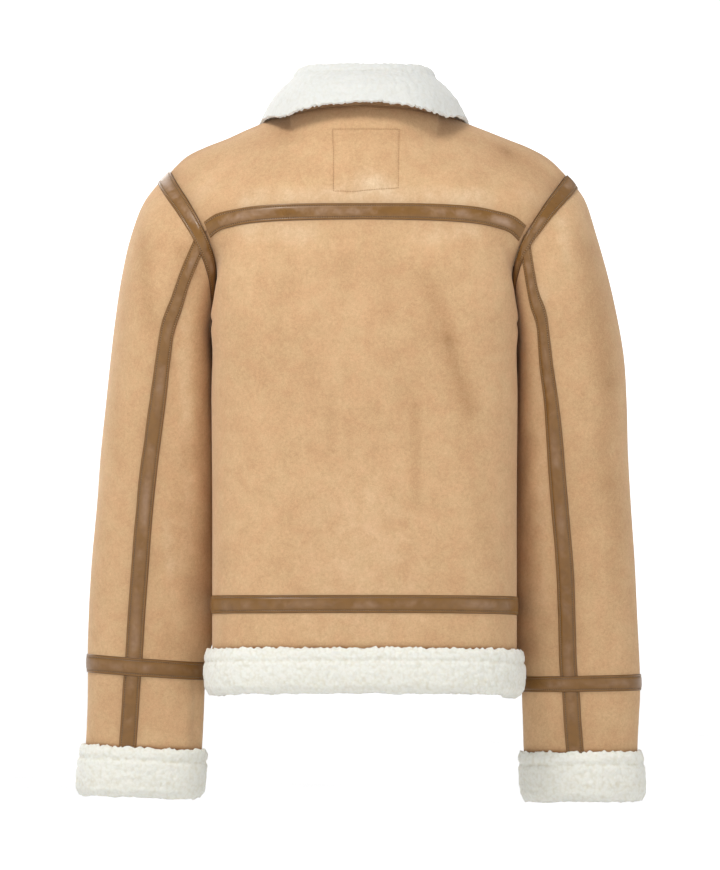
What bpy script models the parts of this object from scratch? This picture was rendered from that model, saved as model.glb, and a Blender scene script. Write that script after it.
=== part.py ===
"""Aviator jacket of bonded faux suede with a sherpa collar, hem band and cuffs.

The jacket keeps the hollow form that it has when worn, with nobody in it. Metres, +Z up. The back faces
+Y, the front faces -Y and the wearer's left is at +X. The origin lies midway between the two points where
the shoulders meet the neck. Cloth is a wall of even thickness. Its outer face is a grid of points worked
out from the tables below, and its inner face is the same grid moved in along the normals. Tapes are made
from the points of the panel they lie on.
"""

import math

import bpy
import numpy as np

# Cloth, tapes and seams
WALL = 0.004
SEAM_GAP = 0.0003
TAPE_LIFT = 0.0003
TAPE_THICKNESS = 0.0012
TAPE_WIDTH = 0.018
YOKE_TAPE_HALF = 0.0083
CROSSING_LIFT = 0.0018
UNDERARM_LIFT = 0.0009

# Weight of the seam's direction over the sleeve's own along the armhole tape's inner edge
SEAM_TURN = 4.0

# Torso: levels of the rows below the armpit, from the hidden end inside the hem band upwards
WALL_END_LEVEL = -0.5850
HEM_TOP_LEVEL = -0.5500
HEM_TAPE_LEVELS = (-0.5135, -0.5042, -0.4950)
PLAIN_LEVELS = (-0.455, -0.410, -0.365, -0.320, -0.280, -0.246)
SIDE_SEAM_Y = -0.008
FRONT_EDGE_X = 0.0065
ARMPIT_BLEND = 0.085
EDGE_BLEND_FROM = 0.50
BACK_EDGE_BLEND_FROM = 0.80

# Torso cross-sections: level, half width, back y, front y, squareness of the back and of the front
SECTIONS = (
    (-0.600, 0.1605, 0.114, -0.123, 3.4, 2.5),
    (-0.500, 0.1605, 0.112, -0.124, 3.4, 2.5),
    (-0.400, 0.1605, 0.107, -0.126, 3.5, 2.5),
    (-0.300, 0.1610, 0.111, -0.129, 3.6, 2.5),
    (-0.220, 0.1620, 0.117, -0.130, 3.8, 2.5),
    (-0.170, 0.1630, 0.118, -0.128, 3.8, 2.5),
    (-0.130, 0.1650, 0.115, -0.123, 3.7, 2.5),
    (-0.090, 0.1690, 0.108, -0.114, 3.4, 2.5),
)

# Hollow that the sleeve presses into the side: depth, y of its middle, half its length along y
SIDE_PRESS = 0.0100
SIDE_PRESS_Y = -0.022
SIDE_PRESS_HALF = 0.068

# Hollow behind the armpit, under the seam: depth, y of its middle, half length, level and reach up and down
ARMPIT_PRESS = 0.0060
ARMPIT_PRESS_Y = 0.022
ARMPIT_PRESS_HALF = 0.036
ARMPIT_PRESS_LEVEL = -0.212
ARMPIT_PRESS_REACH = 0.045

# How far the hem dips at the side seams: level, dip of the left side, dip of the right side
HEM_DIPS = (
    (-0.600, 0.0080, 0.0090),
    (-0.505, 0.0030, 0.0055),
    (-0.400, 0.0000, 0.0000),
    (-0.200, 0.0000, 0.0000),
)

# Yoke seam at the centre back, and how much of its drop to the armhole is a sharp turn at the end
YOKE_SEAM_LEVEL = -0.0990
SHARP_TURN_SHARE = 0.55

# Armholes: x, y, z of points from the armpit up the back, over the shoulder tip and down the front
ARMHOLE_YOKE_ROW = 4
ARMHOLE_TIP_ROW = 8
ARMHOLES = {
    "left": (
        (0.1490, -0.008, -0.2180),
        (0.1535, 0.024, -0.2060),
        (0.1530, 0.047, -0.1750),
        (0.1565, 0.069, -0.1420),
        (0.1650, 0.0755, -0.1200),
        (0.1751, 0.066, -0.1000),
        (0.1840, 0.050, -0.0850),
        (0.1945, 0.025, -0.0690),
        (0.2020, -0.004, -0.0560),
        (0.1985, -0.034, -0.0690),
        (0.1840, -0.062, -0.1020),
        (0.1670, -0.079, -0.1420),
        (0.1560, -0.073, -0.1820),
        (0.1490, -0.045, -0.2090),
    ),
    "right": (
        (0.1490, -0.008, -0.2200),
        (0.1535, 0.024, -0.2075),
        (0.1530, 0.047, -0.1770),
        (0.1570, 0.069, -0.1450),
        (0.1655, 0.0755, -0.1240),
        (0.1780, 0.067, -0.1040),
        (0.1885, 0.050, -0.0880),
        (0.2000, 0.025, -0.0730),
        (0.2100, -0.004, -0.0600),
        (0.2050, -0.034, -0.0730),
        (0.1880, -0.062, -0.1050),
        (0.1690, -0.079, -0.1440),
        (0.1560, -0.073, -0.1840),
        (0.1490, -0.045, -0.2110),
    ),
}

# Shoulder seams: x, y, z of points from the neck to just before the shoulder tip
SHOULDERS = {
    "left": (
        (0.0800, 0.003, 0.0045),
        (0.1120, 0.002, -0.0075),
        (0.1480, 0.000, -0.0235),
        (0.1840, -0.003, -0.0390),
    ),
    "right": (
        (0.0800, 0.003, 0.0045),
        (0.1120, 0.002, -0.0075),
        (0.1520, 0.000, -0.0232),
        (0.1890, -0.003, -0.0400),
    ),
}

# Neck seam, one half: x, y, z from the centre back to the shoulder seam, and on to the front edge
NECK_BACK = (
    (0.000, 0.0700, 0.0120),
    (0.040, 0.0600, 0.0095),
    (0.068, 0.0350, 0.0055),
    (0.080, 0.0030, 0.0045),
)
NECK_FRONT = (
    (0.0800, 0.003, 0.0045),
    (0.0770, -0.030, -0.0110),
    (0.0620, -0.062, -0.0360),
    (0.0360, -0.083, -0.0610),
    (FRONT_EDGE_X, -0.091, -0.0790),
)

# Passes that even out the direction of the cloth along the neck seam
NECK_SMOOTHING = 3

# Direction that settles how twisted edge faces are split
SPLIT_DIRECTION = (0.31, 0.53, 0.79)

# Columns and rows of the grids
NECK_COLUMNS = 6
SHOULDER_COLUMNS = 6
UNDER_COLUMNS = 5
CAP_COLUMNS = 5
FRONT_ROWS = 10
FRONT_RING_ROWS = 3
HALF_COLUMNS = NECK_COLUMNS + SHOULDER_COLUMNS
YOKE_COLUMN = UNDER_COLUMNS + 1
TIP_COLUMN = YOKE_COLUMN + 1 + CAP_COLUMNS
SLEEVE_COLUMNS = TIP_COLUMN + FRONT_ROWS
FRONT_SEAM_COLUMN = TIP_COLUMN + 7
DENSE = 240

# Sleeve outlines seen from behind: level, greatest x
SLEEVE_OUTLINES = {
    "left": (
        (-0.070, 0.2150), (-0.085, 0.2275), (-0.106, 0.2385), (-0.127, 0.2440), (-0.168, 0.2532),
        (-0.210, 0.2595), (-0.252, 0.2645), (-0.293, 0.2688), (-0.335, 0.2735), (-0.397, 0.2782),
        (-0.439, 0.2825), (-0.501, 0.2865), (-0.543, 0.2884), (-0.605, 0.2886), (-0.650, 0.2905),
        (-0.692, 0.2940), (-0.712, 0.2950),
    ),
    "right": (
        (-0.070, 0.2205), (-0.085, 0.2290), (-0.106, 0.2366), (-0.127, 0.2428), (-0.168, 0.2543),
        (-0.210, 0.2636), (-0.252, 0.2705), (-0.293, 0.2730), (-0.335, 0.2740), (-0.397, 0.2772),
        (-0.439, 0.2803), (-0.501, 0.2834), (-0.543, 0.2855), (-0.605, 0.2874), (-0.650, 0.2845),
        (-0.692, 0.2860), (-0.712, 0.2860),
    ),
}

# Sleeve rings above the forearm tape: outer level, inner level, inner x, back y, front y, armhole share
SLEEVE_SQUARENESS = 2.3
SLEEVE_RINGS = (
    (-0.086, -0.236, 0.1575, 0.074, -0.090, 0.50),
    (-0.124, -0.253, 0.1570, 0.069, -0.095, 0.18),
    (-0.166, -0.272, 0.1555, 0.064, -0.098, 0.05),
    (-0.206, -0.293, 0.1550, 0.059, -0.098, 0.00),
    (-0.248, -0.318, 0.1540, 0.054, -0.097, 0.00),
    (-0.295, -0.348, 0.1535, 0.048, -0.095, 0.00),
    (-0.345, -0.382, 0.1535, 0.042, -0.093, 0.00),
    (-0.400, -0.425, 0.1540, 0.035, -0.090, 0.00),
    (-0.462, -0.480, 0.1545, 0.027, -0.087, 0.00),
    (-0.526, -0.538, 0.1560, 0.019, -0.083, 0.00),
)

# Lower sleeve rings of each side, in the same columns. The rows are the tape's top, middle and bottom, plain
# cloth, the cuff's top and the hidden end
LOWER_RINGS = {
    "left": (
        (-0.5580, -0.5670, 0.1640, 0.016, -0.081, 0.0),
        (-0.5675, -0.5762, 0.1652, 0.015, -0.080, 0.0),
        (-0.5770, -0.5855, 0.1660, 0.014, -0.080, 0.0),
        (-0.6150, -0.6210, 0.1675, 0.010, -0.078, 0.0),
        (-0.6530, -0.6580, 0.1695, 0.007, -0.077, 0.0),
        (-0.6920, -0.6940, 0.1730, 0.006, -0.078, 0.0),
    ),
    "right": (
        (-0.5790, -0.5814, 0.1640, 0.014, -0.081, 0.0),
        (-0.5875, -0.5895, 0.1640, 0.013, -0.080, 0.0),
        (-0.5960, -0.5976, 0.1640, 0.012, -0.080, 0.0),
        (-0.6260, -0.6280, 0.1650, 0.010, -0.078, 0.0),
        (-0.6600, -0.6600, 0.1660, 0.007, -0.077, 0.0),
        (-0.6960, -0.6960, 0.1690, 0.006, -0.078, 0.0),
    ),
}
FOREARM_TAPE_FIRST = 3 + len(SLEEVE_RINGS)
ARMPIT_ROW = 2 + len(HEM_TAPE_LEVELS) + len(PLAIN_LEVELS)

# Course of the long tape down the back of each sleeve: level, x of its middle
SLEEVE_TAPES = {
    "left": (
        (-0.100, 0.1700), (-0.129, 0.1815), (-0.145, 0.1872), (-0.187, 0.1945), (-0.219, 0.2035),
        (-0.276, 0.2111), (-0.362, 0.2229), (-0.459, 0.2324), (-0.562, 0.2392), (-0.653, 0.2458),
        (-0.700, 0.2490),
    ),
    "right": (
        (-0.100, 0.1640), (-0.146, 0.1737), (-0.163, 0.1784), (-0.189, 0.1836), (-0.255, 0.1875),
        (-0.328, 0.1962), (-0.379, 0.1997), (-0.459, 0.2070), (-0.578, 0.2122), (-0.657, 0.2181),
        (-0.700, 0.2205),
    ),
}

# Sherpa bands: section through band and wall as distance out from the cloth, distance below the band's top
BAND_CLEARANCE = 0.0003
HEM_BAND = (
    (0.0003, 0.0010), (0.0045, -0.0010), (0.0075, 0.0030), (0.0088, 0.0120), (0.0092, 0.0260),
    (0.0080, 0.0390), (0.0035, 0.0460), (-0.0060, 0.0465), (-0.0110, 0.0410), (-0.0125, 0.0260),
    (-0.0115, 0.0140), (-0.0080, 0.0110), (-0.0043, 0.0130),
)
ZIP_ROOM = 0.0013
CUFF_BAND = (
    (0.0003, 0.0010), (0.0040, -0.0010), (0.0062, 0.0040), (0.0072, 0.0160), (0.0076, 0.0300),
    (0.0070, 0.0440), (0.0030, 0.0510), (-0.0060, 0.0520), (-0.0110, 0.0470), (-0.0120, 0.0300),
    (-0.0110, 0.0190), (-0.0080, 0.0160), (-0.0043, 0.0180),
)

# Collar, one half: share of the neck seam from the back, fold x, y, z, and fall edge x, y, z
COLLAR_SHARES = (0.00, 0.17, 0.33, 0.46, 0.60, 0.75, 0.88, 1.00)
COLLAR_FOLD = (
    (0.0000, 0.0570, 0.0470),
    (0.0380, 0.0480, 0.0468),
    (0.0600, 0.0240, 0.0455),
    (0.0660, -0.0030, 0.0400),
    (0.0620, -0.0340, 0.0230),
    (0.0500, -0.0610, -0.0010),
    (0.0300, -0.0780, -0.0240),
    (0.0080, -0.0860, -0.0400),
)
COLLAR_EDGE = (
    (0.0000, 0.0885, 0.0195),
    (0.0500, 0.0785, 0.0150),
    (0.0805, 0.0520, 0.0055),
    (0.0975, 0.0150, 0.0040),
    (0.1020, -0.0330, -0.0090),
    (0.0980, -0.0780, -0.0390),
    (0.0880, -0.1080, -0.0730),
    (0.0700, -0.1260, -0.1080),
)
COLLAR_SUEDE_WALL = 0.0020
COLLAR_BEND_HALF = 0.0050
COLLAR_BEND_HEIGHT = 0.0060
COLLAR_BOW = 0.0030
COLLAR_EDGE_REACH = 0.0045
COLLAR_SEAM_GAP = 0.0006
COLLAR_LAYER_GAP = 0.0003

# Points of a collar section, as places between its seven guide points, and the pile's depth at each
COLLAR_PLACES = (0.0, 0.8, 1.6, 2.0, 2.5, 3.0, 3.5, 4.0, 4.7, 5.4, 6.0)
COLLAR_PILE = (0.0045, 0.0066, 0.0074, 0.0078, 0.0080, 0.0080, 0.0080, 0.0080, 0.0080, 0.0072, 0.0030)

# Front zip, from the hem band's lower edge to the neck; depths are measured in from the front's outer face
ZIP_TAPE_INNER_X = 0.0015
ZIP_TAPE_OUTER_X = 0.0140
ZIP_TAPE_DEPTHS = (0.0043, 0.0053)
ZIP_CHAIN_HALF = 0.0028
ZIP_CHAIN_DEPTHS = (0.0012, 0.0040)
ZIP_TOP_MARGIN = 0.006
SLIDER_HALF_WIDTH = 0.0046
SLIDER_LENGTH = 0.0120
SLIDER_THICKNESS = 0.0022
SLIDER_BELOW_TOP = 0.016
LUG_HALF_GAP = 0.0022
LUG_WIDTH = 0.0011
LUG_LENGTH = 0.0040
PIN_STAND = 0.0028
LUG_HEIGHT = PIN_STAND + 0.0018
PIN_RADIUS = 0.0007
PIN_SIDES = 10
PULL_END_CLEARANCE = 0.0022
PULL_EYE_RADIUS = 0.0011
PULL_HALF_WIDTH = 0.0016
PULL_HEAD_RADIUS = 0.0022
PULL_BLADE_HALF = 0.0034
PULL_BLADE_LENGTH = 0.0240
PULL_THICKNESS = 0.0012

# Colours as linear values, with roughness and metallic
FINISHES = {
    "suede": ((0.55, 0.36, 0.20), 0.90, 0.0),
    "leather": ((0.17, 0.085, 0.035), 0.45, 0.0),
    "sherpa": ((0.84, 0.82, 0.75), 0.95, 0.0),
    "zip_cloth": ((0.10, 0.06, 0.035), 0.80, 0.0),
    "brass": ((0.55, 0.42, 0.24), 0.35, 1.0),
}


def clear_scene():
    """Remove every object, so that a second run starts from nothing."""
    for item in list(bpy.data.objects):
        bpy.data.objects.remove(item, do_unlink=True)


def finish_material(name):
    """Give the Principled material of a finish."""
    material = bpy.data.materials.get(name)
    if material is None:
        colour, roughness, metallic = FINISHES[name]
        material = bpy.data.materials.new(name)
        material.use_nodes = True
        shader = material.node_tree.nodes["Principled BSDF"]
        shader.inputs["Base Color"].default_value = (*colour, 1.0)
        shader.inputs["Roughness"].default_value = roughness
        shader.inputs["Metallic"].default_value = metallic
        material.diffuse_color = (*colour, 1.0)
    return material


def unit(vectors):
    """Scale vectors to length one."""
    vectors = np.asarray(vectors, float)
    return vectors / np.linalg.norm(vectors, axis=-1, keepdims=True)


def smooth_step(value):
    """Rise smoothly from 0 to 1 while the value goes from 0 to 1."""
    value = np.clip(value, 0.0, 1.0)
    return value * value * (3.0 - 2.0 * value)


def spline(knots, values, places):
    """Read a smooth curve through the values at the knots."""
    knots = np.asarray(knots, float)
    values = np.asarray(values, float)
    places = np.asarray(places, float)
    gaps = np.diff(knots)
    gap_column = gaps.reshape((-1,) + (1,) * (values.ndim - 1))
    slopes = np.diff(values, axis=0) / gap_column
    tangents = np.empty_like(values)
    weighted = slopes[:-1] * gap_column[1:] + slopes[1:] * gap_column[:-1]
    tangents[1:-1] = weighted / (gap_column[:-1] + gap_column[1:])
    tangents[0] = 1.5 * slopes[0] - 0.5 * tangents[1] if len(knots) > 2 else slopes[0]
    tangents[-1] = 1.5 * slopes[-1] - 0.5 * tangents[-2] if len(knots) > 2 else slopes[-1]
    index = np.clip(np.searchsorted(knots, places, side="right") - 1, 0, len(gaps) - 1)
    share = (places - knots[index]) / gaps[index]
    shape = share.shape + (1,) * (values.ndim - 1)
    share = share.reshape(shape)
    gap = gaps[index].reshape(shape)
    square = share * share
    cube = square * share
    return (
        values[index] * (2 * cube - 3 * square + 1)
        + tangents[index] * gap * (cube - 2 * square + share)
        + values[index + 1] * (3 * square - 2 * cube)
        + tangents[index + 1] * gap * (cube - square)
    )


def lengths_along(points):
    """Distance of each point from the first one, along the line through them."""
    steps = np.linalg.norm(np.diff(points, axis=0), axis=1)
    return np.concatenate(([0.0], np.cumsum(steps)))


def at_distances(points, distances):
    """Points at the given distances along a dense line."""
    travelled = lengths_along(points)
    columns = [np.interp(distances, travelled, points[:, axis]) for axis in range(points.shape[1])]
    return np.stack(columns, axis=1)


def dense_curve(points):
    """Many points of the smooth curve through a few."""
    points = np.asarray(points, float)
    travelled = lengths_along(points)
    return spline(travelled, points, np.linspace(0.0, travelled[-1], DENSE))


def even_points(points, count):
    """Evenly spaced points on the smooth curve through a few."""
    line = dense_curve(points)
    total = lengths_along(line)[-1]
    return at_distances(line, np.linspace(0.0, total, count + 1))


def grid_normals(points, closed=False):
    """Unit normals of a grid, which point out where its rows rise and its columns run clockwise."""
    down = np.gradient(points, axis=0)
    if closed:
        across = (np.roll(points, -1, axis=1) - np.roll(points, 1, axis=1)) / 2.0
    else:
        across = np.gradient(points, axis=1)
    return unit(np.cross(down, across))


def armhole_points(side):
    """Points of the armhole, one for each sleeve column, from the armpit up the back and down the front."""
    table = np.asarray(ARMHOLES[side])
    count = len(table)
    looped = np.concatenate([table[-3:], table, table[:4]])
    travelled = lengths_along(looped)
    knot_places = travelled[3:3 + count + 1]
    places = np.linspace(knot_places[0], knot_places[-1], DENSE * 4)
    line = spline(travelled, looped, places)
    ends = np.interp(knot_places, places, lengths_along(line))
    yoke = ends[ARMHOLE_YOKE_ROW]
    tip = ends[ARMHOLE_TIP_ROW]
    low_edge = yoke - TAPE_WIDTH / 2
    high_edge = yoke + TAPE_WIDTH / 2
    distances = np.concatenate([
        np.linspace(0.0, low_edge, UNDER_COLUMNS + 1),
        [yoke],
        np.linspace(high_edge, tip, CAP_COLUMNS + 1),
        np.linspace(tip, ends[-1], FRONT_ROWS + 1)[1:-1],
    ])
    return at_distances(line, distances)


def section_at(level):
    """Half width, back y, front y and the two squarenesses of the torso at a level."""
    table = np.asarray(SECTIONS)
    return spline(table[:, 0], table[:, 1:], level)


def torso_row(level, back, edge_y):
    """Evenly spaced x and y of half a torso section, from the centre line to the side."""
    half_width, back_y, front_y, back_square, front_square = section_at(level)
    depth = back_y - SIDE_SEAM_Y if back else SIDE_SEAM_Y - front_y
    square = back_square if back else front_square
    reach = np.clip(abs(edge_y - SIDE_SEAM_Y) / depth, 0.0, 1.0)
    last = math.acos(reach ** (square / 2))
    first = 0.0 if back else math.asin((FRONT_EDGE_X / half_width) ** (square / 2))
    angles = np.linspace(first, last, DENSE)
    x = half_width * np.sin(angles) ** (2 / square)
    y = SIDE_SEAM_Y + (depth if back else -depth) * np.abs(np.cos(angles)) ** (2 / square)
    nearness = np.clip(1.0 - ((y - SIDE_PRESS_Y) / SIDE_PRESS_HALF) ** 2, 0.0, None)
    x = x - SIDE_PRESS * nearness ** 2 * smooth_step(x / half_width * 2 - 1)
    if back:
        beside = np.clip(1.0 - ((y - ARMPIT_PRESS_Y) / ARMPIT_PRESS_HALF) ** 2, 0.0, None)
        height = max(1.0 - ((level - ARMPIT_PRESS_LEVEL) / ARMPIT_PRESS_REACH) ** 2, 0.0)
        x = x - ARMPIT_PRESS * height ** 2 * beside ** 2
    line = np.stack([x, y], axis=1)
    total = lengths_along(line)[-1]
    return at_distances(line, np.linspace(0.0, total, HALF_COLUMNS + 1))


def hem_dip(level, side):
    """How far a row sinks at the side seam."""
    table = np.asarray(HEM_DIPS)[::-1]
    column = 1 if side == "left" else 2
    return spline(-table[:, 0], table[:, column], -level)


def lower_rows(side, back, armpit):
    """Rows of half a torso from the hidden end at the hem to just below the armpit, centre line first."""
    levels = (WALL_END_LEVEL, HEM_TOP_LEVEL, *HEM_TAPE_LEVELS, *PLAIN_LEVELS)
    shares = np.linspace(0.0, 1.0, HALF_COLUMNS + 1)
    armpit_row = torso_row(armpit[2], back, SIDE_SEAM_Y)
    pull = armpit[:2] - armpit_row[-1]
    rows = []
    for level in levels:
        flat = torso_row(level, back, SIDE_SEAM_Y)
        fade = 1.0 - smooth_step((armpit[2] - level) / ARMPIT_BLEND)
        flat = flat + pull * (fade * smooth_step((shares - EDGE_BLEND_FROM) / (1 - EDGE_BLEND_FROM)))[:, None]
        heights = level - hem_dip(level, side) * shares ** 2.5
        rows.append(np.column_stack([flat, heights]))
    return rows


def pulled_to_edge(row, edge, blend_from=EDGE_BLEND_FROM):
    """A row whose last stretch is drawn onto the point where it has to end."""
    shares = np.linspace(0.0, 1.0, len(row))
    weight = smooth_step((shares - blend_from) / (1 - blend_from))
    return row + (edge - row[-1]) * weight[:, None]


def back_ring_rows(armhole):
    """Rows of half the back from the armpit to the yoke seam."""
    shares = np.linspace(0.0, 1.0, HALF_COLUMNS + 1)
    drop = (1 - SHARP_TURN_SHARE) * shares ** 3.5 + SHARP_TURN_SHARE * shares ** 12
    bottom = armhole[0][2]
    top = armhole[YOKE_COLUMN][2]
    rows = []
    tape_edge = YOKE_SEAM_LEVEL - YOKE_TAPE_HALF
    for index, centre in enumerate([*np.linspace(bottom, tape_edge, YOKE_COLUMN), YOKE_SEAM_LEVEL]):
        edge = armhole[index]
        rise = (edge[2] - bottom) / (top - bottom)
        flat = torso_row((centre + edge[2]) / 2, True, max(edge[1], SIDE_SEAM_Y))
        heights = centre + (edge[2] - centre) * (drop * rise + shares * (1 - rise))
        rows.append(pulled_to_edge(np.column_stack([flat, heights]), edge, BACK_EDGE_BLEND_FROM))
    return rows


def front_ring_rows(armhole):
    """Rows of half the front from the armpit to the chest."""
    shares = np.linspace(0.0, 1.0, HALF_COLUMNS + 1)
    rows = []
    levels = np.linspace(armhole[0][2], armhole[-FRONT_RING_ROWS][2], FRONT_RING_ROWS + 1)
    for index, centre in enumerate(levels):
        edge = armhole[-index]
        flat = torso_row((centre + edge[2]) / 2, False, min(edge[1], SIDE_SEAM_Y))
        heights = centre + (edge[2] - centre) * shares
        rows.append(pulled_to_edge(np.column_stack([flat, heights]), edge))
    return rows


def top_edge(side, back, tip):
    """Upper edge of half the back or front: along the neck from the centre, then along the shoulder."""
    neck = even_points(NECK_BACK if back else NECK_FRONT[::-1], NECK_COLUMNS)
    shoulder = even_points([*SHOULDERS[side], tip], SHOULDER_COLUMNS)
    return np.concatenate([neck, shoulder[1:]])


def rising_rows(base, below, top, back, first_step, count, armhole_edge):
    """Rows that rise from the chest or yoke seam to the upper edge, curved over the shoulder."""
    shares = np.linspace(0.0, 1.0, HALF_COLUMNS + 1)
    forward = -1.0 if back else 1.0
    neck_share = NECK_COLUMNS / HALF_COLUMNS
    slope = np.interp(shares, (0.0, neck_share * 0.6, neck_share, 1.0), (0.80, 0.70, 0.25, 0.02))
    if not back:
        slope = np.interp(shares, (0.0, neck_share * 0.6, neck_share, 1.0), (1.60, 0.90, 0.25, 0.02))
    arrive = unit(np.column_stack([np.zeros_like(slope), np.full_like(slope, forward), slope]))
    leave = unit(base - below)
    chord = np.linalg.norm(top - base, axis=1, keepdims=True)
    along = np.linspace(0.0, 1.0, DENSE)
    columns = []
    for index in range(HALF_COLUMNS + 1):
        share = along[:, None]
        square = share * share
        cube = square * share
        line = (
            base[index] * (2 * cube - 3 * square + 1)
            + leave[index] * chord[index] * (cube - 2 * square + share)
            + top[index] * (3 * square - 2 * cube)
            + arrive[index] * chord[index] * (cube - square)
        )
        total = lengths_along(line)[-1]
        if first_step:
            distances = np.concatenate([[first_step], np.linspace(first_step, total, count)[1:]])
        else:
            distances = np.linspace(0.0, total, count + 1)[1:]
        columns.append(at_distances(line, distances))
    rows = np.stack(columns, axis=1)
    return [pulled_to_edge(row, edge) for row, edge in zip(rows, armhole_edge)]


def half_back(side, armhole):
    """Half of the back and yoke: rows from the hem up, columns from the centre to the side."""
    rows = lower_rows(side, True, armhole[0]) + back_ring_rows(armhole)
    top = top_edge(side, True, armhole[TIP_COLUMN])
    edges = armhole[YOKE_COLUMN + 1:TIP_COLUMN + 1]
    rows += rising_rows(rows[-1], rows[-2], top, True, YOKE_TAPE_HALF, len(edges), edges)
    rows[-1] = top
    return np.stack(rows)


def half_front(side, armhole):
    """One front: rows from the hem up, columns from the front edge to the side."""
    rows = lower_rows(side, False, armhole[0]) + front_ring_rows(armhole)
    top = top_edge(side, False, armhole[TIP_COLUMN])
    edges = armhole[TIP_COLUMN:SLEEVE_COLUMNS - FRONT_RING_ROWS][::-1]
    rows += rising_rows(rows[-1], rows[-2], top, False, 0.0, len(edges), edges)
    rows[-1] = top
    grid = np.stack(rows)
    grid[:, 0, 0] = FRONT_EDGE_X
    return grid


def ring_line(outer, inner, back_y, front_y):
    """Dense closed sleeve ring from its inner point over the back, the outer point and the front."""
    middle = (outer + inner) / 2
    reach = (outer - inner) / 2
    angles = np.linspace(0.0, 2 * math.pi, DENSE * 2 + 1)
    power = 2 / SLEEVE_SQUARENESS
    across = -np.sign(np.cos(angles)) * np.abs(np.cos(angles)) ** power
    deep = np.sign(np.sin(angles)) * np.abs(np.sin(angles)) ** power
    level_y = (back_y + front_y) / 2
    points = np.empty((len(angles), 3))
    points[:, 0] = middle[0] + reach[0] * across
    points[:, 1] = level_y + (back_y - front_y) / 2 * deep
    points[:, 2] = middle[1] + reach[1] * across
    return points


def ring_columns(line, tape_course):
    """Points of a ring at the sleeve's columns, with three of them on the long tape."""
    travelled = lengths_along(line)
    half = len(line) // 2
    course = spline(-np.asarray(tape_course)[:, 0], np.asarray(tape_course)[:, 1], -line[:half, 2])
    beyond = line[:half, 0] - course
    crossing = int(np.argmax((beyond[1:] >= 0) & (beyond[:-1] < 0)))
    tape = travelled[crossing + 1]
    outer = travelled[half]
    distances = np.concatenate([
        np.linspace(0.0, tape - TAPE_WIDTH / 2, UNDER_COLUMNS + 1),
        [tape],
        np.linspace(tape + TAPE_WIDTH / 2, outer, CAP_COLUMNS + 1),
        np.linspace(outer, travelled[-1], FRONT_ROWS + 1)[1:-1],
    ])
    return at_distances(line, distances)


def sleeve_grid(side, armhole):
    """Sleeve rows from the armhole down to the hidden end inside the cuff, as a closed ring of columns."""
    outline = np.asarray(SLEEVE_OUTLINES[side])
    high = armhole[TIP_COLUMN][[0, 2]]
    low = armhole[0][[0, 2]]
    flat_line = ring_line(high, low, armhole[:, 1].max(), armhole[:, 1].min())
    loop = lengths_along(np.concatenate([armhole, armhole[:1]]))
    flat = at_distances(flat_line, loop[:-1] / loop[-1] * lengths_along(flat_line)[-1])
    departure = armhole - flat
    rings = [armhole]
    for outer_z, inner_z, inner_x, back_y, front_y, share in (*SLEEVE_RINGS, *LOWER_RINGS[side]):
        outer_x = float(spline(-outline[:, 0], outline[:, 1], -outer_z))
        line = ring_line(np.array([outer_x, outer_z]), np.array([inner_x, inner_z]), back_y, front_y)
        rings.append(ring_columns(line, SLEEVE_TAPES[side]) + departure * share)
    rings = np.stack(rings)
    near = np.empty((2, SLEEVE_COLUMNS, 3))
    for column in range(SLEEVE_COLUMNS):
        travelled = lengths_along(rings[:, column])
        line = spline(travelled, rings[:, column], np.linspace(0.0, travelled[2], DENSE))
        near[:, column] = at_distances(line, [TAPE_WIDTH / 2, TAPE_WIDTH])
    return np.concatenate([rings[:1], near, rings[1:]])


def mirrored(grid, side):
    """The same points on their own side of the garment."""
    return grid if side == "left" else grid * np.array([-1.0, 1.0, 1.0])


def build_surfaces():
    """All outer grids with their normals, equal along each seam, so that wall edges stand face to face."""
    armholes = {side: armhole_points(side) for side in ARMHOLES}
    left = half_back("left", armholes["left"])
    right = mirrored(half_back("right", armholes["right"]), "right")
    back = np.concatenate([right[:, :0:-1], left], axis=1)
    back_normals = grid_normals(back)
    surfaces = {}
    for side in ARMHOLES:
        turn = 1.0 if side == "left" else -1.0
        front = mirrored(half_front(side, armholes[side]), side)
        front_normals = -turn * grid_normals(front)
        sleeve = mirrored(sleeve_grid(side, armholes[side]), side)
        sleeve_normals = -turn * grid_normals(sleeve, closed=True)
        half = slice(HALF_COLUMNS, None) if side == "left" else slice(HALF_COLUMNS, None, -1)
        half_grid = (back[:, half], back_normals[:, half])
        join_straight_seams(half_grid, (front, front_normals))
        join_armhole(half_grid, (front, front_normals), (sleeve, sleeve_normals))
        surfaces["front", side] = (front, front_normals)
        surfaces["sleeve", side] = (sleeve, sleeve_normals)
    surfaces["back", "both"] = (back, back_normals)
    return surfaces


def join_straight_seams(back, front):
    """Share the normals along the side and shoulder seams of one side, and part the side seam's edges."""
    for rows, columns in ((slice(0, ARMPIT_ROW), -1), (-1, slice(NECK_COLUMNS, -1))):
        shared = unit(back[1][rows, columns] + front[1][rows, columns])
        back[1][rows, columns] = shared
        front[1][rows, columns] = shared
    neck = np.concatenate([front[1][-1, :NECK_COLUMNS + 1], back[1][-1, NECK_COLUMNS - 1::-1]])
    for _ in range(NECK_SMOOTHING):
        neck[1:-1] = unit(neck[:-2] + 2 * neck[1:-1] + neck[2:])
    front[1][-1, :NECK_COLUMNS + 1] = neck[:NECK_COLUMNS + 1]
    back[1][-1, :NECK_COLUMNS + 1] = neck[:NECK_COLUMNS - 1:-1]
    for points, _ in (back, front):
        edge = points[:ARMPIT_ROW + 1, -1]
        edge += unit(points[:ARMPIT_ROW + 1, -2] - edge) * SEAM_GAP / 2


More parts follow.
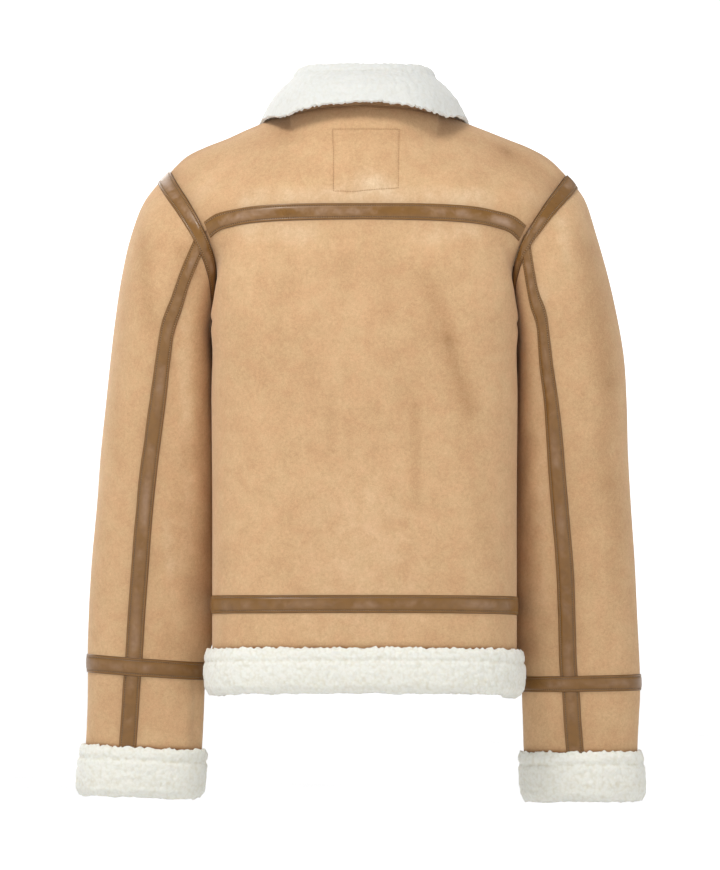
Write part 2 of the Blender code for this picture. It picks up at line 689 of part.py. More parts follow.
def join_armhole(back, front, sleeve):
    """Share the normals round the armhole, and part the sleeve from the torso squarely across the seam."""
    ring = sleeve[0][0].copy()
    for column in range(SLEEVE_COLUMNS):
        torso = []
        if column <= TIP_COLUMN:
            torso.append((back, ARMPIT_ROW + column))
        if column >= TIP_COLUMN:
            torso.append((front, ARMPIT_ROW + SLEEVE_COLUMNS - column))
        if column == 0:
            torso.append((front, ARMPIT_ROW))
        torso_normal = unit(sum(grid[1][row, -1] for grid, row in torso))
        normal = unit(sleeve[1][0, column] + torso_normal)
        tangent = unit(ring[(column + 1) % SLEEVE_COLUMNS] - ring[column - 1])
        across = unit(sleeve[0][1, column] - ring[column])
        for grid, row in torso:
            beside = grid[0][row - 1, -1] if column == 0 else grid[0][row, -2]
            across = across - unit(beside - ring[column]) / len(torso)
        across = across - normal * np.dot(across, normal)
        side_on = unit(tangent - normal * np.dot(tangent, normal))
        across = unit(across - side_on * np.dot(across, side_on))
        sleeve[1][0, column] = normal
        sleeve[0][0, column] += across * SEAM_GAP / 2
        for grid, row in torso:
            grid[1][row, -1] = normal
            grid[0][row, -1] -= across * SEAM_GAP / 2


def trim(points, sides, gap=SEAM_GAP):
    """Draw the named edges of a grid in by half a seam gap."""
    points = points.copy()
    if "first_row" in sides:
        points[0] += unit(points[1] - points[0]) * gap / 2
    if "last_row" in sides:
        points[-1] += unit(points[-2] - points[-1]) * gap / 2
    if "first_column" in sides:
        points[:, 0] += unit(points[:, 1] - points[:, 0]) * gap / 2
    if "last_column" in sides:
        points[:, -1] += unit(points[:, -2] - points[:, -1]) * gap / 2
    return points


def add_object(name, vertices, faces, finish):
    """Make one closed object with its faces pointing out, shaded smooth but for its sharp edges."""
    mesh = bpy.data.meshes.new(name)
    mesh.from_pydata([tuple(point) for point in vertices], [], faces)
    mesh.validate()
    volume = 0.0
    for triangle in mesh_triangles(mesh):
        volume += float(np.dot(triangle[0], np.cross(triangle[1], triangle[2]))) / 6.0
    if volume < 0:
        mesh.flip_normals()
    mesh.shade_smooth()
    mesh.set_sharp_from_angle(angle=math.radians(40.0))
    mesh.materials.append(finish_material(finish))
    item = bpy.data.objects.new(name, mesh)
    bpy.context.scene.collection.objects.link(item)
    return item


def mesh_triangles(mesh):
    """Corner points of a mesh's triangles."""
    mesh.calc_loop_triangles()
    points = np.array([vertex.co[:] for vertex in mesh.vertices])
    return [points[list(triangle.vertices)] for triangle in mesh.loop_triangles]


def edge_faces(vertices, first, second, depth):
    """Two triangles from an outer edge to the inner edge below it, split the same way by both neighbours."""
    if np.dot(vertices[first], SPLIT_DIRECTION) < np.dot(vertices[second], SPLIT_DIRECTION):
        return [(first, second, depth + second), (first, depth + second, depth + first)]
    return [(first, second, depth + first), (second, depth + second, depth + first)]


def add_wall(name, outer, inner, finish, closed=False):
    """A sheet of cloth between an outer and an inner grid, closed along its edges."""
    rows, columns = outer.shape[:2]
    vertices = np.concatenate([outer.reshape(-1, 3), inner.reshape(-1, 3)])
    depth = rows * columns
    faces = []
    last = columns if closed else columns - 1
    for row in range(rows - 1):
        for column in range(last):
            a = row * columns + column
            b = row * columns + (column + 1) % columns
            c = b + columns
            d = a + columns
            faces += [(a, b, c), (a, c, d)]
            faces += [(depth + a, depth + c, depth + b), (depth + a, depth + d, depth + c)]
    for column in range(last):
        beside = (column + 1) % columns
        top = (rows - 1) * columns
        faces += edge_faces(vertices, beside, column, depth)
        faces += edge_faces(vertices, top + column, top + beside, depth)
    if not closed:
        for row in range(rows - 1):
            low = row * columns
            faces += edge_faces(vertices, low, low + columns, depth)
            faces += edge_faces(vertices, low + 2 * columns - 1, low + columns - 1, depth)
    return add_object(name, vertices, faces, finish)


def add_panel(name, surface, rows, columns, sides, finish="suede", closed=False):
    """Cloth wall over a stretch of a surface's rows and columns."""
    points, normals = surface
    points = points[rows][:, columns]
    normals = normals[rows][:, columns]
    outer = trim(points, sides)
    return add_wall(name, outer, outer - normals * WALL, finish, closed)


def add_tape(name, surface, rows, columns, sides, closed=False, lifts=None):
    """Leather tape over a stretch of a surface's rows and columns, just clear of the cloth."""
    points, normals = surface
    points = trim(points[rows][:, columns], sides, 2 * SEAM_GAP)
    normals = normals[rows][:, columns]
    lift = TAPE_LIFT if lifts is None else lifts[None, :, None]
    outer = points + normals * (lift + TAPE_THICKNESS)
    return add_wall(name, outer, points + normals * lift, "leather", closed)


def add_swept(name, rings, finish, closed):
    """A solid whose section outline follows a line of stations: rings is stations across outline points."""
    stations, around = rings.shape[:2]
    faces = []
    last = stations if closed else stations - 1
    for station in range(last):
        following = (station + 1) % stations
        for place in range(around):
            beside = (place + 1) % around
            a = station * around + place
            b = station * around + beside
            c = following * around + beside
            d = following * around + place
            faces.append((a, b, c, d))
    if not closed:
        faces.append(tuple(range(around))[::-1])
        faces.append(tuple((stations - 1) * around + place for place in range(around)))
    return add_object(name, rings.reshape(-1, 3), faces, finish)


def torso_panels(surfaces):
    """Back, yoke and fronts."""
    seam = ARMPIT_ROW + YOKE_COLUMN
    back = surfaces["back", "both"]
    every = slice(None)
    add_panel("back_panel", back, slice(0, seam + 1), every, ("last_row",))
    add_panel("back_yoke", back, slice(seam, None), every, ("first_row", "last_row"))
    add_tape("tape_yoke", back, slice(seam - 1, seam + 2), every, ("first_column", "last_column"))
    for side in ARMHOLES:
        add_panel(f"front_{side}", surfaces["front", side], every, every, ("last_row",))


def hem_surface(surfaces):
    """Rows near the hem, all round from the left front edge over the back to the right front edge."""
    rows = slice(0, 2 + len(HEM_TAPE_LEVELS))
    left, left_normals = surfaces["front", "left"]
    right, right_normals = surfaces["front", "right"]
    back, back_normals = surfaces["back", "both"]
    points = np.concatenate([left[rows], back[rows, -2:0:-1], right[rows, ::-1]], axis=1)
    normals = [left_normals[rows], back_normals[rows, -2:0:-1], right_normals[rows, ::-1]]
    normals = np.concatenate(normals, axis=1)
    return points, normals


def add_band(name, top, end, normals, section, closed):
    """Sherpa band folded round the end of a wall: a section swept along the wall's lower edge."""
    down = unit(end - top)
    wall_end = np.linalg.norm(end - top, axis=1)
    stations = []
    for index in range(len(top)):
        room = 0.0 if closed or 1 < index < len(top) - 2 else ZIP_ROOM
        ring = []
        for out, below in section:
            place = out - room if out < -WALL else out
            ring.append(top[index] + down[index] * below + normals[index] * place)
        under = wall_end[index] + BAND_CLEARANCE
        ring.append(top[index] + down[index] * under - normals[index] * (WALL + BAND_CLEARANCE + room))
        ring.append(top[index] + down[index] * under + normals[index] * BAND_CLEARANCE)
        stations.append(ring)
    return add_swept(name, np.array(stations), "sherpa", closed)


def hem_pieces(surfaces):
    """Hem tape and hem band, open at the front zip."""
    points, normals = hem_surface(surfaces)
    add_tape("tape_hem", (points, normals), slice(2, 5), slice(None), ())
    add_band("hem_fur", points[1], points[0], normals[0], HEM_BAND, False)


def sleeve_pieces(surfaces, side):
    """Both halves of a sleeve, its tapes and its cuff."""
    sleeve = surfaces["sleeve", side]
    points, normals = sleeve
    every = slice(None)
    top = list(range(YOKE_COLUMN, FRONT_SEAM_COLUMN + 1))
    under = list(range(FRONT_SEAM_COLUMN, SLEEVE_COLUMNS)) + list(range(YOKE_COLUMN + 1))
    add_panel(f"sleeve_top_{side}", sleeve, every, top, ("first_column", "last_column"))
    add_panel(f"sleeve_under_{side}", sleeve, every, under, ("first_column", "last_column"))
    lifts = np.full(SLEEVE_COLUMNS, TAPE_LIFT)
    lifts[[-1, 0, 1]] = UNDERARM_LIFT
    edges = ("first_row", "last_row")
    tape_normals = normals[:3].copy()
    tape_normals[0] = unit(SEAM_TURN * normals[0] + normals[1])
    ring = (points, tape_normals)
    add_tape(f"tape_armhole_{side}", ring, slice(0, 3), every, edges, closed=True, lifts=lifts)
    cuff_top = len(points) - 2
    long_columns = slice(YOKE_COLUMN - 1, YOKE_COLUMN + 2)
    add_tape(f"tape_sleeve_{side}", sleeve, slice(2, cuff_top + 1), long_columns, edges)
    lifts = np.full(SLEEVE_COLUMNS, TAPE_LIFT)
    lifts[long_columns] = CROSSING_LIFT
    band = slice(FOREARM_TAPE_FIRST, FOREARM_TAPE_FIRST + 3)
    add_tape(f"tape_forearm_{side}", sleeve, band, every, (), closed=True, lifts=lifts)
    add_band(f"cuff_fur_{side}", points[cuff_top], points[-1], normals[-1], CUFF_BAND, True)


def collar_stations(surfaces):
    """Points and normals of the neck seam from the left front edge over the back to the right front edge."""
    left, left_normals = surfaces["front", "left"]
    right, right_normals = surfaces["front", "right"]
    back, back_normals = surfaces["back", "both"]
    middle = slice(HALF_COLUMNS + NECK_COLUMNS, HALF_COLUMNS - NECK_COLUMNS - 1, -1)
    front_part = slice(0, NECK_COLUMNS)
    points = np.concatenate([left[-1, front_part], back[-1, middle], right[-1, front_part][::-1]])
    normals = np.concatenate([
        left_normals[-1, front_part], back_normals[-1, middle], right_normals[-1, front_part][::-1],
    ])
    return points, normals


def collar_path(base, fold, edge):
    """Line through one collar section, from the neck seam over the fold to the edge of the fall."""
    out = edge - base
    out[2] = 0.0
    out = unit(out)
    up = np.array([0.0, 0.0, 1.0])
    rise = fold - out * COLLAR_BEND_HALF - up * COLLAR_BEND_HEIGHT
    fall = fold + out * COLLAR_BEND_HALF - up * COLLAR_BEND_HEIGHT
    fall_middle = (fall + edge) / 2 + unit(out + up) * COLLAR_BOW
    knots = np.array([base, (base + rise) / 2, rise, fold, fall, fall_middle, edge])
    return spline(np.arange(7.0), knots, COLLAR_PLACES)


def collar_grid(surfaces):
    """Middle layer of the collar, stations round the neck across points of a section, and seam normals."""
    seam, normals = collar_stations(surfaces)
    travelled = lengths_along(seam)
    shares = 2 * travelled / travelled[-1] - 1
    grid = []
    for point, normal, share in zip(seam, normals, shares):
        turn = np.array([-1.0 if share > 0 else 1.0, 1.0, 1.0])
        fold = spline(COLLAR_SHARES, COLLAR_FOLD, min(abs(share), 1.0)) * turn
        edge = spline(COLLAR_SHARES, COLLAR_EDGE, min(abs(share), 1.0)) * turn
        base = point - normal * COLLAR_SUEDE_WALL
        base = base + unit(fold - base) * COLLAR_SEAM_GAP
        grid.append(collar_path(base, fold, edge))
    return np.array(grid), normals


def collar_pieces(surfaces):
    """Suede under-collar with its stand, and the sherpa that covers the fall and the inside of the stand."""
    grid, seam_normals = collar_grid(surfaces)
    normals = grid_normals(grid)
    outward = 1.0 if np.dot(normals[len(grid) // 2, 0], (0.0, 1.0, 0.0)) > 0 else -1.0
    normals = normals * outward
    normals[:, 0] = seam_normals
    add_wall("collar_suede", grid[:, :-1] + normals[:, :-1] * COLLAR_SUEDE_WALL, grid[:, :-1], "suede")
    reach = grid[:, -1] + unit(grid[:, -1] - grid[:, -2]) * COLLAR_EDGE_REACH
    layer = grid.copy()
    layer[:, -1] = reach
    pile = np.array(COLLAR_PILE)[None, :, None]
    add_wall("collar_fur", layer - normals * COLLAR_LAYER_GAP, layer - normals * pile, "sherpa")


def zip_line(surfaces):
    """Points of the middle of the zip from bottom to top, on the fronts' outer face."""
    left = surfaces["front", "left"][0][:, 0]
    right = surfaces["front", "right"][0][:, 0]
    middle = (left + right) / 2
    middle[:, 0] = 0.0
    middle[-1] += unit(middle[-2] - middle[-1]) * ZIP_TOP_MARGIN
    return middle


def add_strip(name, line, x_range, depths, finish):
    """A flat strip along the zip, between two distances from its middle and two depths."""
    near, far = depths
    low, high = x_range
    inward = grid_slopes(line)
    stations = []
    for point, direction in zip(line, inward):
        corners = ((low, near), (high, near), (high, far), (low, far))
        stations.append([point + direction * depth + np.array([x, 0.0, 0.0]) for x, depth in corners])
    return add_swept(name, np.array(stations), finish, False)


def grid_slopes(line):
    """Unit directions that point into the garment, square to a line in the middle plane."""
    along = unit(np.gradient(line, axis=0))
    return np.stack([np.zeros(len(line)), along[:, 2], -along[:, 1]], axis=1)


def add_box(vertices_low, vertices_high):
    """Corner points and faces of a box."""
    x0, y0, z0 = vertices_low
    x1, y1, z1 = vertices_high
    corners = [(x, y, z) for z in (z0, z1) for y in (y0, y1) for x in (x0, x1)]
    faces = [(0, 2, 3, 1), (4, 5, 7, 6), (0, 1, 5, 4), (2, 6, 7, 3), (0, 4, 6, 2), (1, 3, 7, 5)]
    return corners, faces


def joined(target, others):
    """Join other solids to a target by Boolean union and delete them."""
    for other in others:
        union = target.modifiers.new("union", "BOOLEAN")
        union.operation = "UNION"
        union.solver = "EXACT"
        union.object = other
        graph = bpy.context.evaluated_depsgraph_get()
        mesh = bpy.data.meshes.new_from_object(target.evaluated_get(graph))
        target.modifiers.clear()
        target.data = mesh
        bpy.data.objects.remove(other, do_unlink=True)
    return target


def placed(points, origin, angle):
    """Points turned about X by an angle and moved to an origin."""
    cosine = math.cos(angle)
    sine = math.sin(angle)
    turned = [(x, y * cosine - z * sine, y * sine + z * cosine) for x, y, z in points]
    return [tuple(np.array(point) + origin) for point in turned]


def rod(radius, half_length, sides):
    """Corner points and faces of a rod along X about the origin."""
    points = []
    for x in (-half_length, half_length):
        for index in range(sides):
            angle = 2 * math.pi * index / sides
            points.append((x, radius * math.cos(angle), radius * math.sin(angle)))
    faces = [tuple(range(sides))[::-1], tuple(range(sides, 2 * sides))]
    for index in range(sides):
        beside = (index + 1) % sides
        faces.append((index, beside, sides + beside, sides + index))
    return points, faces


def pull_outline():
    """Side outline of the pull's head and the blade below it, as y and z about the pin's axis."""
    half = PULL_THICKNESS / 2
    start = math.asin(half / PULL_HEAD_RADIUS)
    head = []
    for index in range(13):
        angle = -math.pi / 2 + start + (2 * math.pi - 2 * start) * index / 12
        head.append((PULL_HEAD_RADIUS * math.cos(angle), PULL_HEAD_RADIUS * math.sin(angle)))
    return head


def zip_pieces(surfaces):
    """Closed front zip with its slider near the neck and the pull hanging from the slider's pin."""
    line = zip_line(surfaces)
    for side, turn in (("left", 1.0), ("right", -1.0)):
        across = sorted((turn * ZIP_TAPE_INNER_X, turn * ZIP_TAPE_OUTER_X))
        add_strip(f"zip_tape_{side}", line, across, ZIP_TAPE_DEPTHS, "zip_cloth")
    add_strip("zip_chain", line, (-ZIP_CHAIN_HALF, ZIP_CHAIN_HALF), ZIP_CHAIN_DEPTHS, "brass")

    travelled = lengths_along(line)
    middle = at_distances(line, [travelled[-1] - SLIDER_BELOW_TOP])[0]
    along = unit(line[-1] - line[-2])
    lean = math.atan2(-along[1], along[2])
    back_face = ZIP_CHAIN_DEPTHS[0] - SEAM_GAP
    plate_y = (back_face - SLIDER_THICKNESS, back_face)
    half_length = SLIDER_LENGTH / 2
    low = (-SLIDER_HALF_WIDTH, plate_y[0], -half_length)
    high = (SLIDER_HALF_WIDTH, plate_y[1], half_length)
    corners, faces = add_box(low, high)
    slider = add_object("zip_slider", placed(corners, middle, lean), faces, "brass")
    pin_y = plate_y[0] - PIN_STAND
    others = []
    for turn in (1.0, -1.0):
        near = turn * LUG_HALF_GAP
        far = turn * (LUG_HALF_GAP + LUG_WIDTH)
        low = (min(near, far), plate_y[0] - LUG_HEIGHT, -LUG_LENGTH / 2)
        high = (max(near, far), plate_y[0] + SLIDER_THICKNESS / 2, LUG_LENGTH / 2)
        corners, faces = add_box(low, high)
        others.append(add_object("lug", placed(corners, middle, lean), faces, "brass"))
    corners, faces = rod(PIN_RADIUS, LUG_HALF_GAP + LUG_WIDTH / 2, PIN_SIDES)
    pin_place = placed([(0.0, pin_y, 0.0)], middle, lean)[0]
    others.append(add_object("pin", placed(corners, np.array(pin_place), lean), faces, "brass"))
    joined(slider, others)
    below = at_distances(line, [travelled[-1] - SLIDER_BELOW_TOP - PULL_BLADE_LENGTH])[0]
    aim = below - grid_slopes(line)[-2] * PULL_END_CLEARANCE - np.array(pin_place)
    add_pull(np.array(pin_place), math.atan2(aim[1], -aim[2]))


def add_pull(pin_place, lean):
    """The pull: an eye round the slider's pin and a flat blade that lies along the zip."""
    handle = bpy.data.objects.new("zip_pull_axis", None)
    handle.location = pin_place
    handle.rotation_euler = (lean, 0.0, 0.0)
    bpy.context.scene.collection.objects.link(handle)
    outer = pull_outline()
    sides = len(outer)
    eye = [
        (PULL_EYE_RADIUS * math.cos(math.atan2(z, y)), PULL_EYE_RADIUS * math.sin(math.atan2(z, y)))
        for y, z in outer
    ]
    points = []
    for x in (-PULL_HALF_WIDTH, PULL_HALF_WIDTH):
        points += [(x, y, z) for y, z in outer]
        points += [(x, y, z) for y, z in eye]
    faces = []
    step = 2 * sides
    for index in range(sides):
        beside = (index + 1) % sides
        faces.append((index, beside, sides + beside, sides + index))
        faces.append((step + index, step + sides + index, step + sides + beside, step + beside))
        faces.append((index, step + index, step + beside, beside))
        faces.append((sides + index, sides + beside, step + sides + beside, step + sides + index))
    pull = add_object("zip_pull", points, faces, "brass")
    half = PULL_THICKNESS / 2
    neck_top = -PULL_EYE_RADIUS - (PULL_HEAD_RADIUS - PULL_EYE_RADIUS) / 2
    low = (-PULL_HALF_WIDTH, -half, -PULL_BLADE_LENGTH / 3)
    corners, faces = add_box(low, (PULL_HALF_WIDTH, half, neck_top))
    neck = add_object("neck", corners, faces, "brass")
    low = (-PULL_BLADE_HALF, -half, -PULL_BLADE_LENGTH)
    corners, faces = add_box(low, (PULL_BLADE_HALF, half, -PULL_BLADE_LENGTH / 4))
    blade = add_object("blade", corners, faces, "brass")
    joined(pull, [neck, blade])
    pull.parent = handle


def main():
    """Build the jacket."""
    clear_scene()
    surfaces = build_surfaces()
    torso_panels(surfaces)
    hem_pieces(surfaces)
    for side in ARMHOLES:
        sleeve_pieces(surfaces, side)
    collar_pieces(surfaces)
    zip_pieces(surfaces)


main()
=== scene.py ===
"""Looks of the aviator jacket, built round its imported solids.

The tables and functions that lay out the jacket's surface give the same surface as those of its solids. Here
each surface is read between its rows and columns too, so that cloth, tapes and pile are smooth and creased.
Metres, +Z up. The back faces +Y and the wearer's left is at +X.
"""

import math

import bpy
import numpy as np
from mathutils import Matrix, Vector, noise
from mathutils.kdtree import KDTree


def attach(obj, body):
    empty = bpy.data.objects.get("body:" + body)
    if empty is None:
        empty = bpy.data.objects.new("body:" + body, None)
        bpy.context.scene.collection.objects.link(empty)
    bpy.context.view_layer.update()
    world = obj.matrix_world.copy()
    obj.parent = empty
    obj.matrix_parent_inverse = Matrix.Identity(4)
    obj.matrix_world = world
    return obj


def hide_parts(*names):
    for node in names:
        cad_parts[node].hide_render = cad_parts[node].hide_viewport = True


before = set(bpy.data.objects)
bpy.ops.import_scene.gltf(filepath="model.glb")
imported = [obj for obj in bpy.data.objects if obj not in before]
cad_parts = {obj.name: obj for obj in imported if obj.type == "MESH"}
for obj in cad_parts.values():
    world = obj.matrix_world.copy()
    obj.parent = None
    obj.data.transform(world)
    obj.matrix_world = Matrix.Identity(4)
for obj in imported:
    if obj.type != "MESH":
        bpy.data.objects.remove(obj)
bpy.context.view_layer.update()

# Cloth, tapes and seams
WALL = 0.004
SEAM_GAP = 0.0003
TAPE_WIDTH = 0.018
YOKE_TAPE_HALF = 0.0083

# Torso: levels of the rows below the armpit, from the hidden end inside the hem band upwards
WALL_END_LEVEL = -0.5850
HEM_TOP_LEVEL = -0.5500
HEM_TAPE_LEVELS = (-0.5135, -0.5042, -0.4950)
PLAIN_LEVELS = (-0.455, -0.410, -0.365, -0.320, -0.280, -0.246)
SIDE_SEAM_Y = -0.008
FRONT_EDGE_X = 0.0065
ARMPIT_BLEND = 0.085
EDGE_BLEND_FROM = 0.50
BACK_EDGE_BLEND_FROM = 0.80

# Torso cross-sections: level, half width, back y, front y, squareness of the back and of the front
SECTIONS = (
    (-0.6, 0.1605, 0.114, -0.123, 3.4, 2.5), (-0.5, 0.1605, 0.112, -0.124, 3.4, 2.5),
    (-0.4, 0.1605, 0.107, -0.126, 3.5, 2.5), (-0.3, 0.161, 0.111, -0.129, 3.6, 2.5),
    (-0.22, 0.162, 0.117, -0.13, 3.8, 2.5), (-0.17, 0.163, 0.118, -0.128, 3.8, 2.5),
    (-0.13, 0.165, 0.115, -0.123, 3.7, 2.5), (-0.09, 0.169, 0.108, -0.114, 3.4, 2.5),
)

# Hollow that the sleeve presses into the side: depth, y of its middle, half its length along y
SIDE_PRESS = 0.0100
SIDE_PRESS_Y = -0.022
SIDE_PRESS_HALF = 0.068

# Hollow behind the armpit, under the seam: depth, y of its middle, half length, level and reach up and down
ARMPIT_PRESS = 0.0060
ARMPIT_PRESS_Y = 0.022
ARMPIT_PRESS_HALF = 0.036
ARMPIT_PRESS_LEVEL = -0.212
ARMPIT_PRESS_REACH = 0.045

# How far the hem dips at the side seams: level, dip of the left side, dip of the right side
HEM_DIP_POWER = 2.5
HEM_DIPS = (
    (-0.6, 0.008, 0.009), (-0.505, 0.003, 0.0055), (-0.4, 0.0, 0.0), (-0.2, 0.0, 0.0),
)

# Yoke seam at the centre back, and how much of its drop to the armhole is a sharp turn at the end
YOKE_SEAM_LEVEL = -0.0990
SHARP_TURN_SHARE = 0.55

# Armholes: x, y, z of points from the armpit up the back, over the shoulder tip and down the front
ARMHOLE_YOKE_ROW = 4
ARMHOLE_TIP_ROW = 8
ARMHOLES = {
    "left": (
        (0.149, -0.008, -0.218), (0.1535, 0.024, -0.206), (0.153, 0.047, -0.175), (0.1565, 0.069, -0.142),
        (0.165, 0.0755, -0.12), (0.1751, 0.066, -0.1), (0.184, 0.05, -0.085), (0.1945, 0.025, -0.069),
        (0.202, -0.004, -0.056), (0.1985, -0.034, -0.069), (0.184, -0.062, -0.102), (0.167, -0.079, -0.142),
        (0.156, -0.073, -0.182), (0.149, -0.045, -0.209),
    ),
    "right": (
        (0.149, -0.008, -0.22), (0.1535, 0.024, -0.2075), (0.153, 0.047, -0.177), (0.157, 0.069, -0.145),
        (0.1655, 0.0755, -0.124), (0.178, 0.067, -0.104), (0.1885, 0.05, -0.088), (0.2, 0.025, -0.073),
        (0.21, -0.004, -0.06), (0.205, -0.034, -0.073), (0.188, -0.062, -0.105), (0.169, -0.079, -0.144),
        (0.156, -0.073, -0.184), (0.149, -0.045, -0.211),
    ),
}

# Shoulder seams: x, y, z of points from the neck to just before the shoulder tip
SHOULDERS = {
    "left": (
        (0.08, 0.003, 0.0045), (0.112, 0.002, -0.0075), (0.148, 0.0, -0.0235), (0.184, -0.003, -0.039),
    ),
    "right": (
        (0.08, 0.003, 0.0045), (0.112, 0.002, -0.0075), (0.152, 0.0, -0.0232), (0.189, -0.003, -0.04),
    ),
}

# Neck seam, one half: x, y, z from the centre back to the shoulder seam, and on to the front edge
NECK_BACK = (
    (0.0, 0.07, 0.012), (0.04, 0.06, 0.0095), (0.068, 0.035, 0.0055), (0.08, 0.003, 0.0045),
)
NECK_FRONT = (
    (0.08, 0.003, 0.0045), (0.077, -0.03, -0.011), (0.062, -0.062, -0.036), (0.036, -0.083, -0.061),
    (FRONT_EDGE_X, -0.091, -0.0790),
)

# Passes that even out the direction of the cloth along the neck seam
NECK_SMOOTHING = 3

# Columns and rows of the grids
NECK_COLUMNS = 6
SHOULDER_COLUMNS = 6
UNDER_COLUMNS = 5
CAP_COLUMNS = 5
FRONT_ROWS = 10
FRONT_RING_ROWS = 3
HALF_COLUMNS = NECK_COLUMNS + SHOULDER_COLUMNS
YOKE_COLUMN = UNDER_COLUMNS + 1
TIP_COLUMN = YOKE_COLUMN + 1 + CAP_COLUMNS
SLEEVE_COLUMNS = TIP_COLUMN + FRONT_ROWS
FRONT_SEAM_COLUMN = TIP_COLUMN + 7
COLUMN_SHARES = np.linspace(0.0, 1.0, HALF_COLUMNS + 1)

# Points of a line that is drawn finely before places are measured along it
DENSE = 240

# Sleeve outlines seen from behind: level, greatest x
SLEEVE_OUTLINES = {
    "left": (
        (-0.07, 0.215), (-0.085, 0.2275), (-0.106, 0.2385), (-0.127, 0.244), (-0.168, 0.2532),
        (-0.21, 0.2595), (-0.252, 0.2645), (-0.293, 0.2688), (-0.335, 0.2735), (-0.397, 0.2782),
        (-0.439, 0.2825), (-0.501, 0.2865), (-0.543, 0.2884), (-0.605, 0.2886), (-0.65, 0.2905),
        (-0.692, 0.294), (-0.712, 0.295),
    ),
    "right": (
        (-0.07, 0.2205), (-0.085, 0.229), (-0.106, 0.2366), (-0.127, 0.2428), (-0.168, 0.2543),
        (-0.21, 0.2636), (-0.252, 0.2705), (-0.293, 0.273), (-0.335, 0.274), (-0.397, 0.2772),
        (-0.439, 0.2803), (-0.501, 0.2834), (-0.543, 0.2855), (-0.605, 0.2874), (-0.65, 0.2845),
        (-0.692, 0.286), (-0.712, 0.286),
    ),
}

# Sleeve rings above the forearm tape: outer level, inner level, inner x, back y, front y, armhole share
SLEEVE_SQUARENESS = 2.3
SLEEVE_RINGS = (
    (-0.086, -0.236, 0.1575, 0.074, -0.09, 0.5), (-0.124, -0.253, 0.157, 0.069, -0.095, 0.18),
    (-0.166, -0.272, 0.1555, 0.064, -0.098, 0.05), (-0.206, -0.293, 0.155, 0.059, -0.098, 0.0),
    (-0.248, -0.318, 0.154, 0.054, -0.097, 0.0), (-0.295, -0.348, 0.1535, 0.048, -0.095, 0.0),
    (-0.345, -0.382, 0.1535, 0.042, -0.093, 0.0), (-0.4, -0.425, 0.154, 0.035, -0.09, 0.0),
    (-0.462, -0.48, 0.1545, 0.027, -0.087, 0.0), (-0.526, -0.538, 0.156, 0.019, -0.083, 0.0),
)

# Lower sleeve rings of each side, in the same columns. The rows are the tape's top, middle and bottom, plain
# cloth, the cuff's top and the hidden end
LOWER_RINGS = {
    "left": (
        (-0.558, -0.567, 0.164, 0.016, -0.081, 0.0), (-0.5675, -0.5762, 0.1652, 0.015, -0.08, 0.0),
        (-0.577, -0.5855, 0.166, 0.014, -0.08, 0.0), (-0.615, -0.621, 0.1675, 0.01, -0.078, 0.0),
        (-0.653, -0.658, 0.1695, 0.007, -0.077, 0.0), (-0.692, -0.694, 0.173, 0.006, -0.078, 0.0),
    ),
    "right": (
        (-0.579, -0.5814, 0.164, 0.014, -0.081, 0.0), (-0.5875, -0.5895, 0.164, 0.013, -0.08, 0.0),
        (-0.596, -0.5976, 0.164, 0.012, -0.08, 0.0), (-0.626, -0.628, 0.165, 0.01, -0.078, 0.0),
        (-0.66, -0.66, 0.166, 0.007, -0.077, 0.0), (-0.696, -0.696, 0.169, 0.006, -0.078, 0.0),
    ),
}
FOREARM_TAPE_FIRST = 3 + len(SLEEVE_RINGS)
ARMPIT_ROW = 2 + len(HEM_TAPE_LEVELS) + len(PLAIN_LEVELS)

# Course of the long tape down the back of each sleeve: level, x of its middle
SLEEVE_TAPES = {
    "left": (
        (-0.1, 0.17), (-0.129, 0.1815), (-0.145, 0.1872), (-0.187, 0.1945), (-0.219, 0.2035),
        (-0.276, 0.2111), (-0.362, 0.2229), (-0.459, 0.2324), (-0.562, 0.2392), (-0.653, 0.2458),
        (-0.7, 0.249),
    ),
    "right": (
        (-0.1, 0.164), (-0.146, 0.1737), (-0.163, 0.1784), (-0.189, 0.1836), (-0.255, 0.1875),
        (-0.328, 0.1962), (-0.379, 0.1997), (-0.459, 0.207), (-0.578, 0.2122), (-0.657, 0.2181),
        (-0.7, 0.2205),
    ),
}

# Sherpa bands: section through band and wall as distance out from the cloth, distance below the band's top
BAND_CLEARANCE = 0.0003
HEM_BAND = (
    (0.0003, 0.001), (0.0045, -0.001), (0.0075, 0.003), (0.0088, 0.012), (0.0092, 0.026), (0.008, 0.039),
    (0.0035, 0.046), (-0.006, 0.0465), (-0.011, 0.041), (-0.0125, 0.026), (-0.0115, 0.014), (-0.008, 0.011),
    (-0.0043, 0.013),
)
CUFF_BAND = (
    (0.0003, 0.001), (0.004, -0.001), (0.0062, 0.004), (0.0072, 0.016), (0.0076, 0.03), (0.007, 0.044),
    (0.003, 0.051), (-0.006, 0.052), (-0.011, 0.047), (-0.012, 0.03), (-0.011, 0.019), (-0.008, 0.016),
    (-0.0043, 0.018),
)

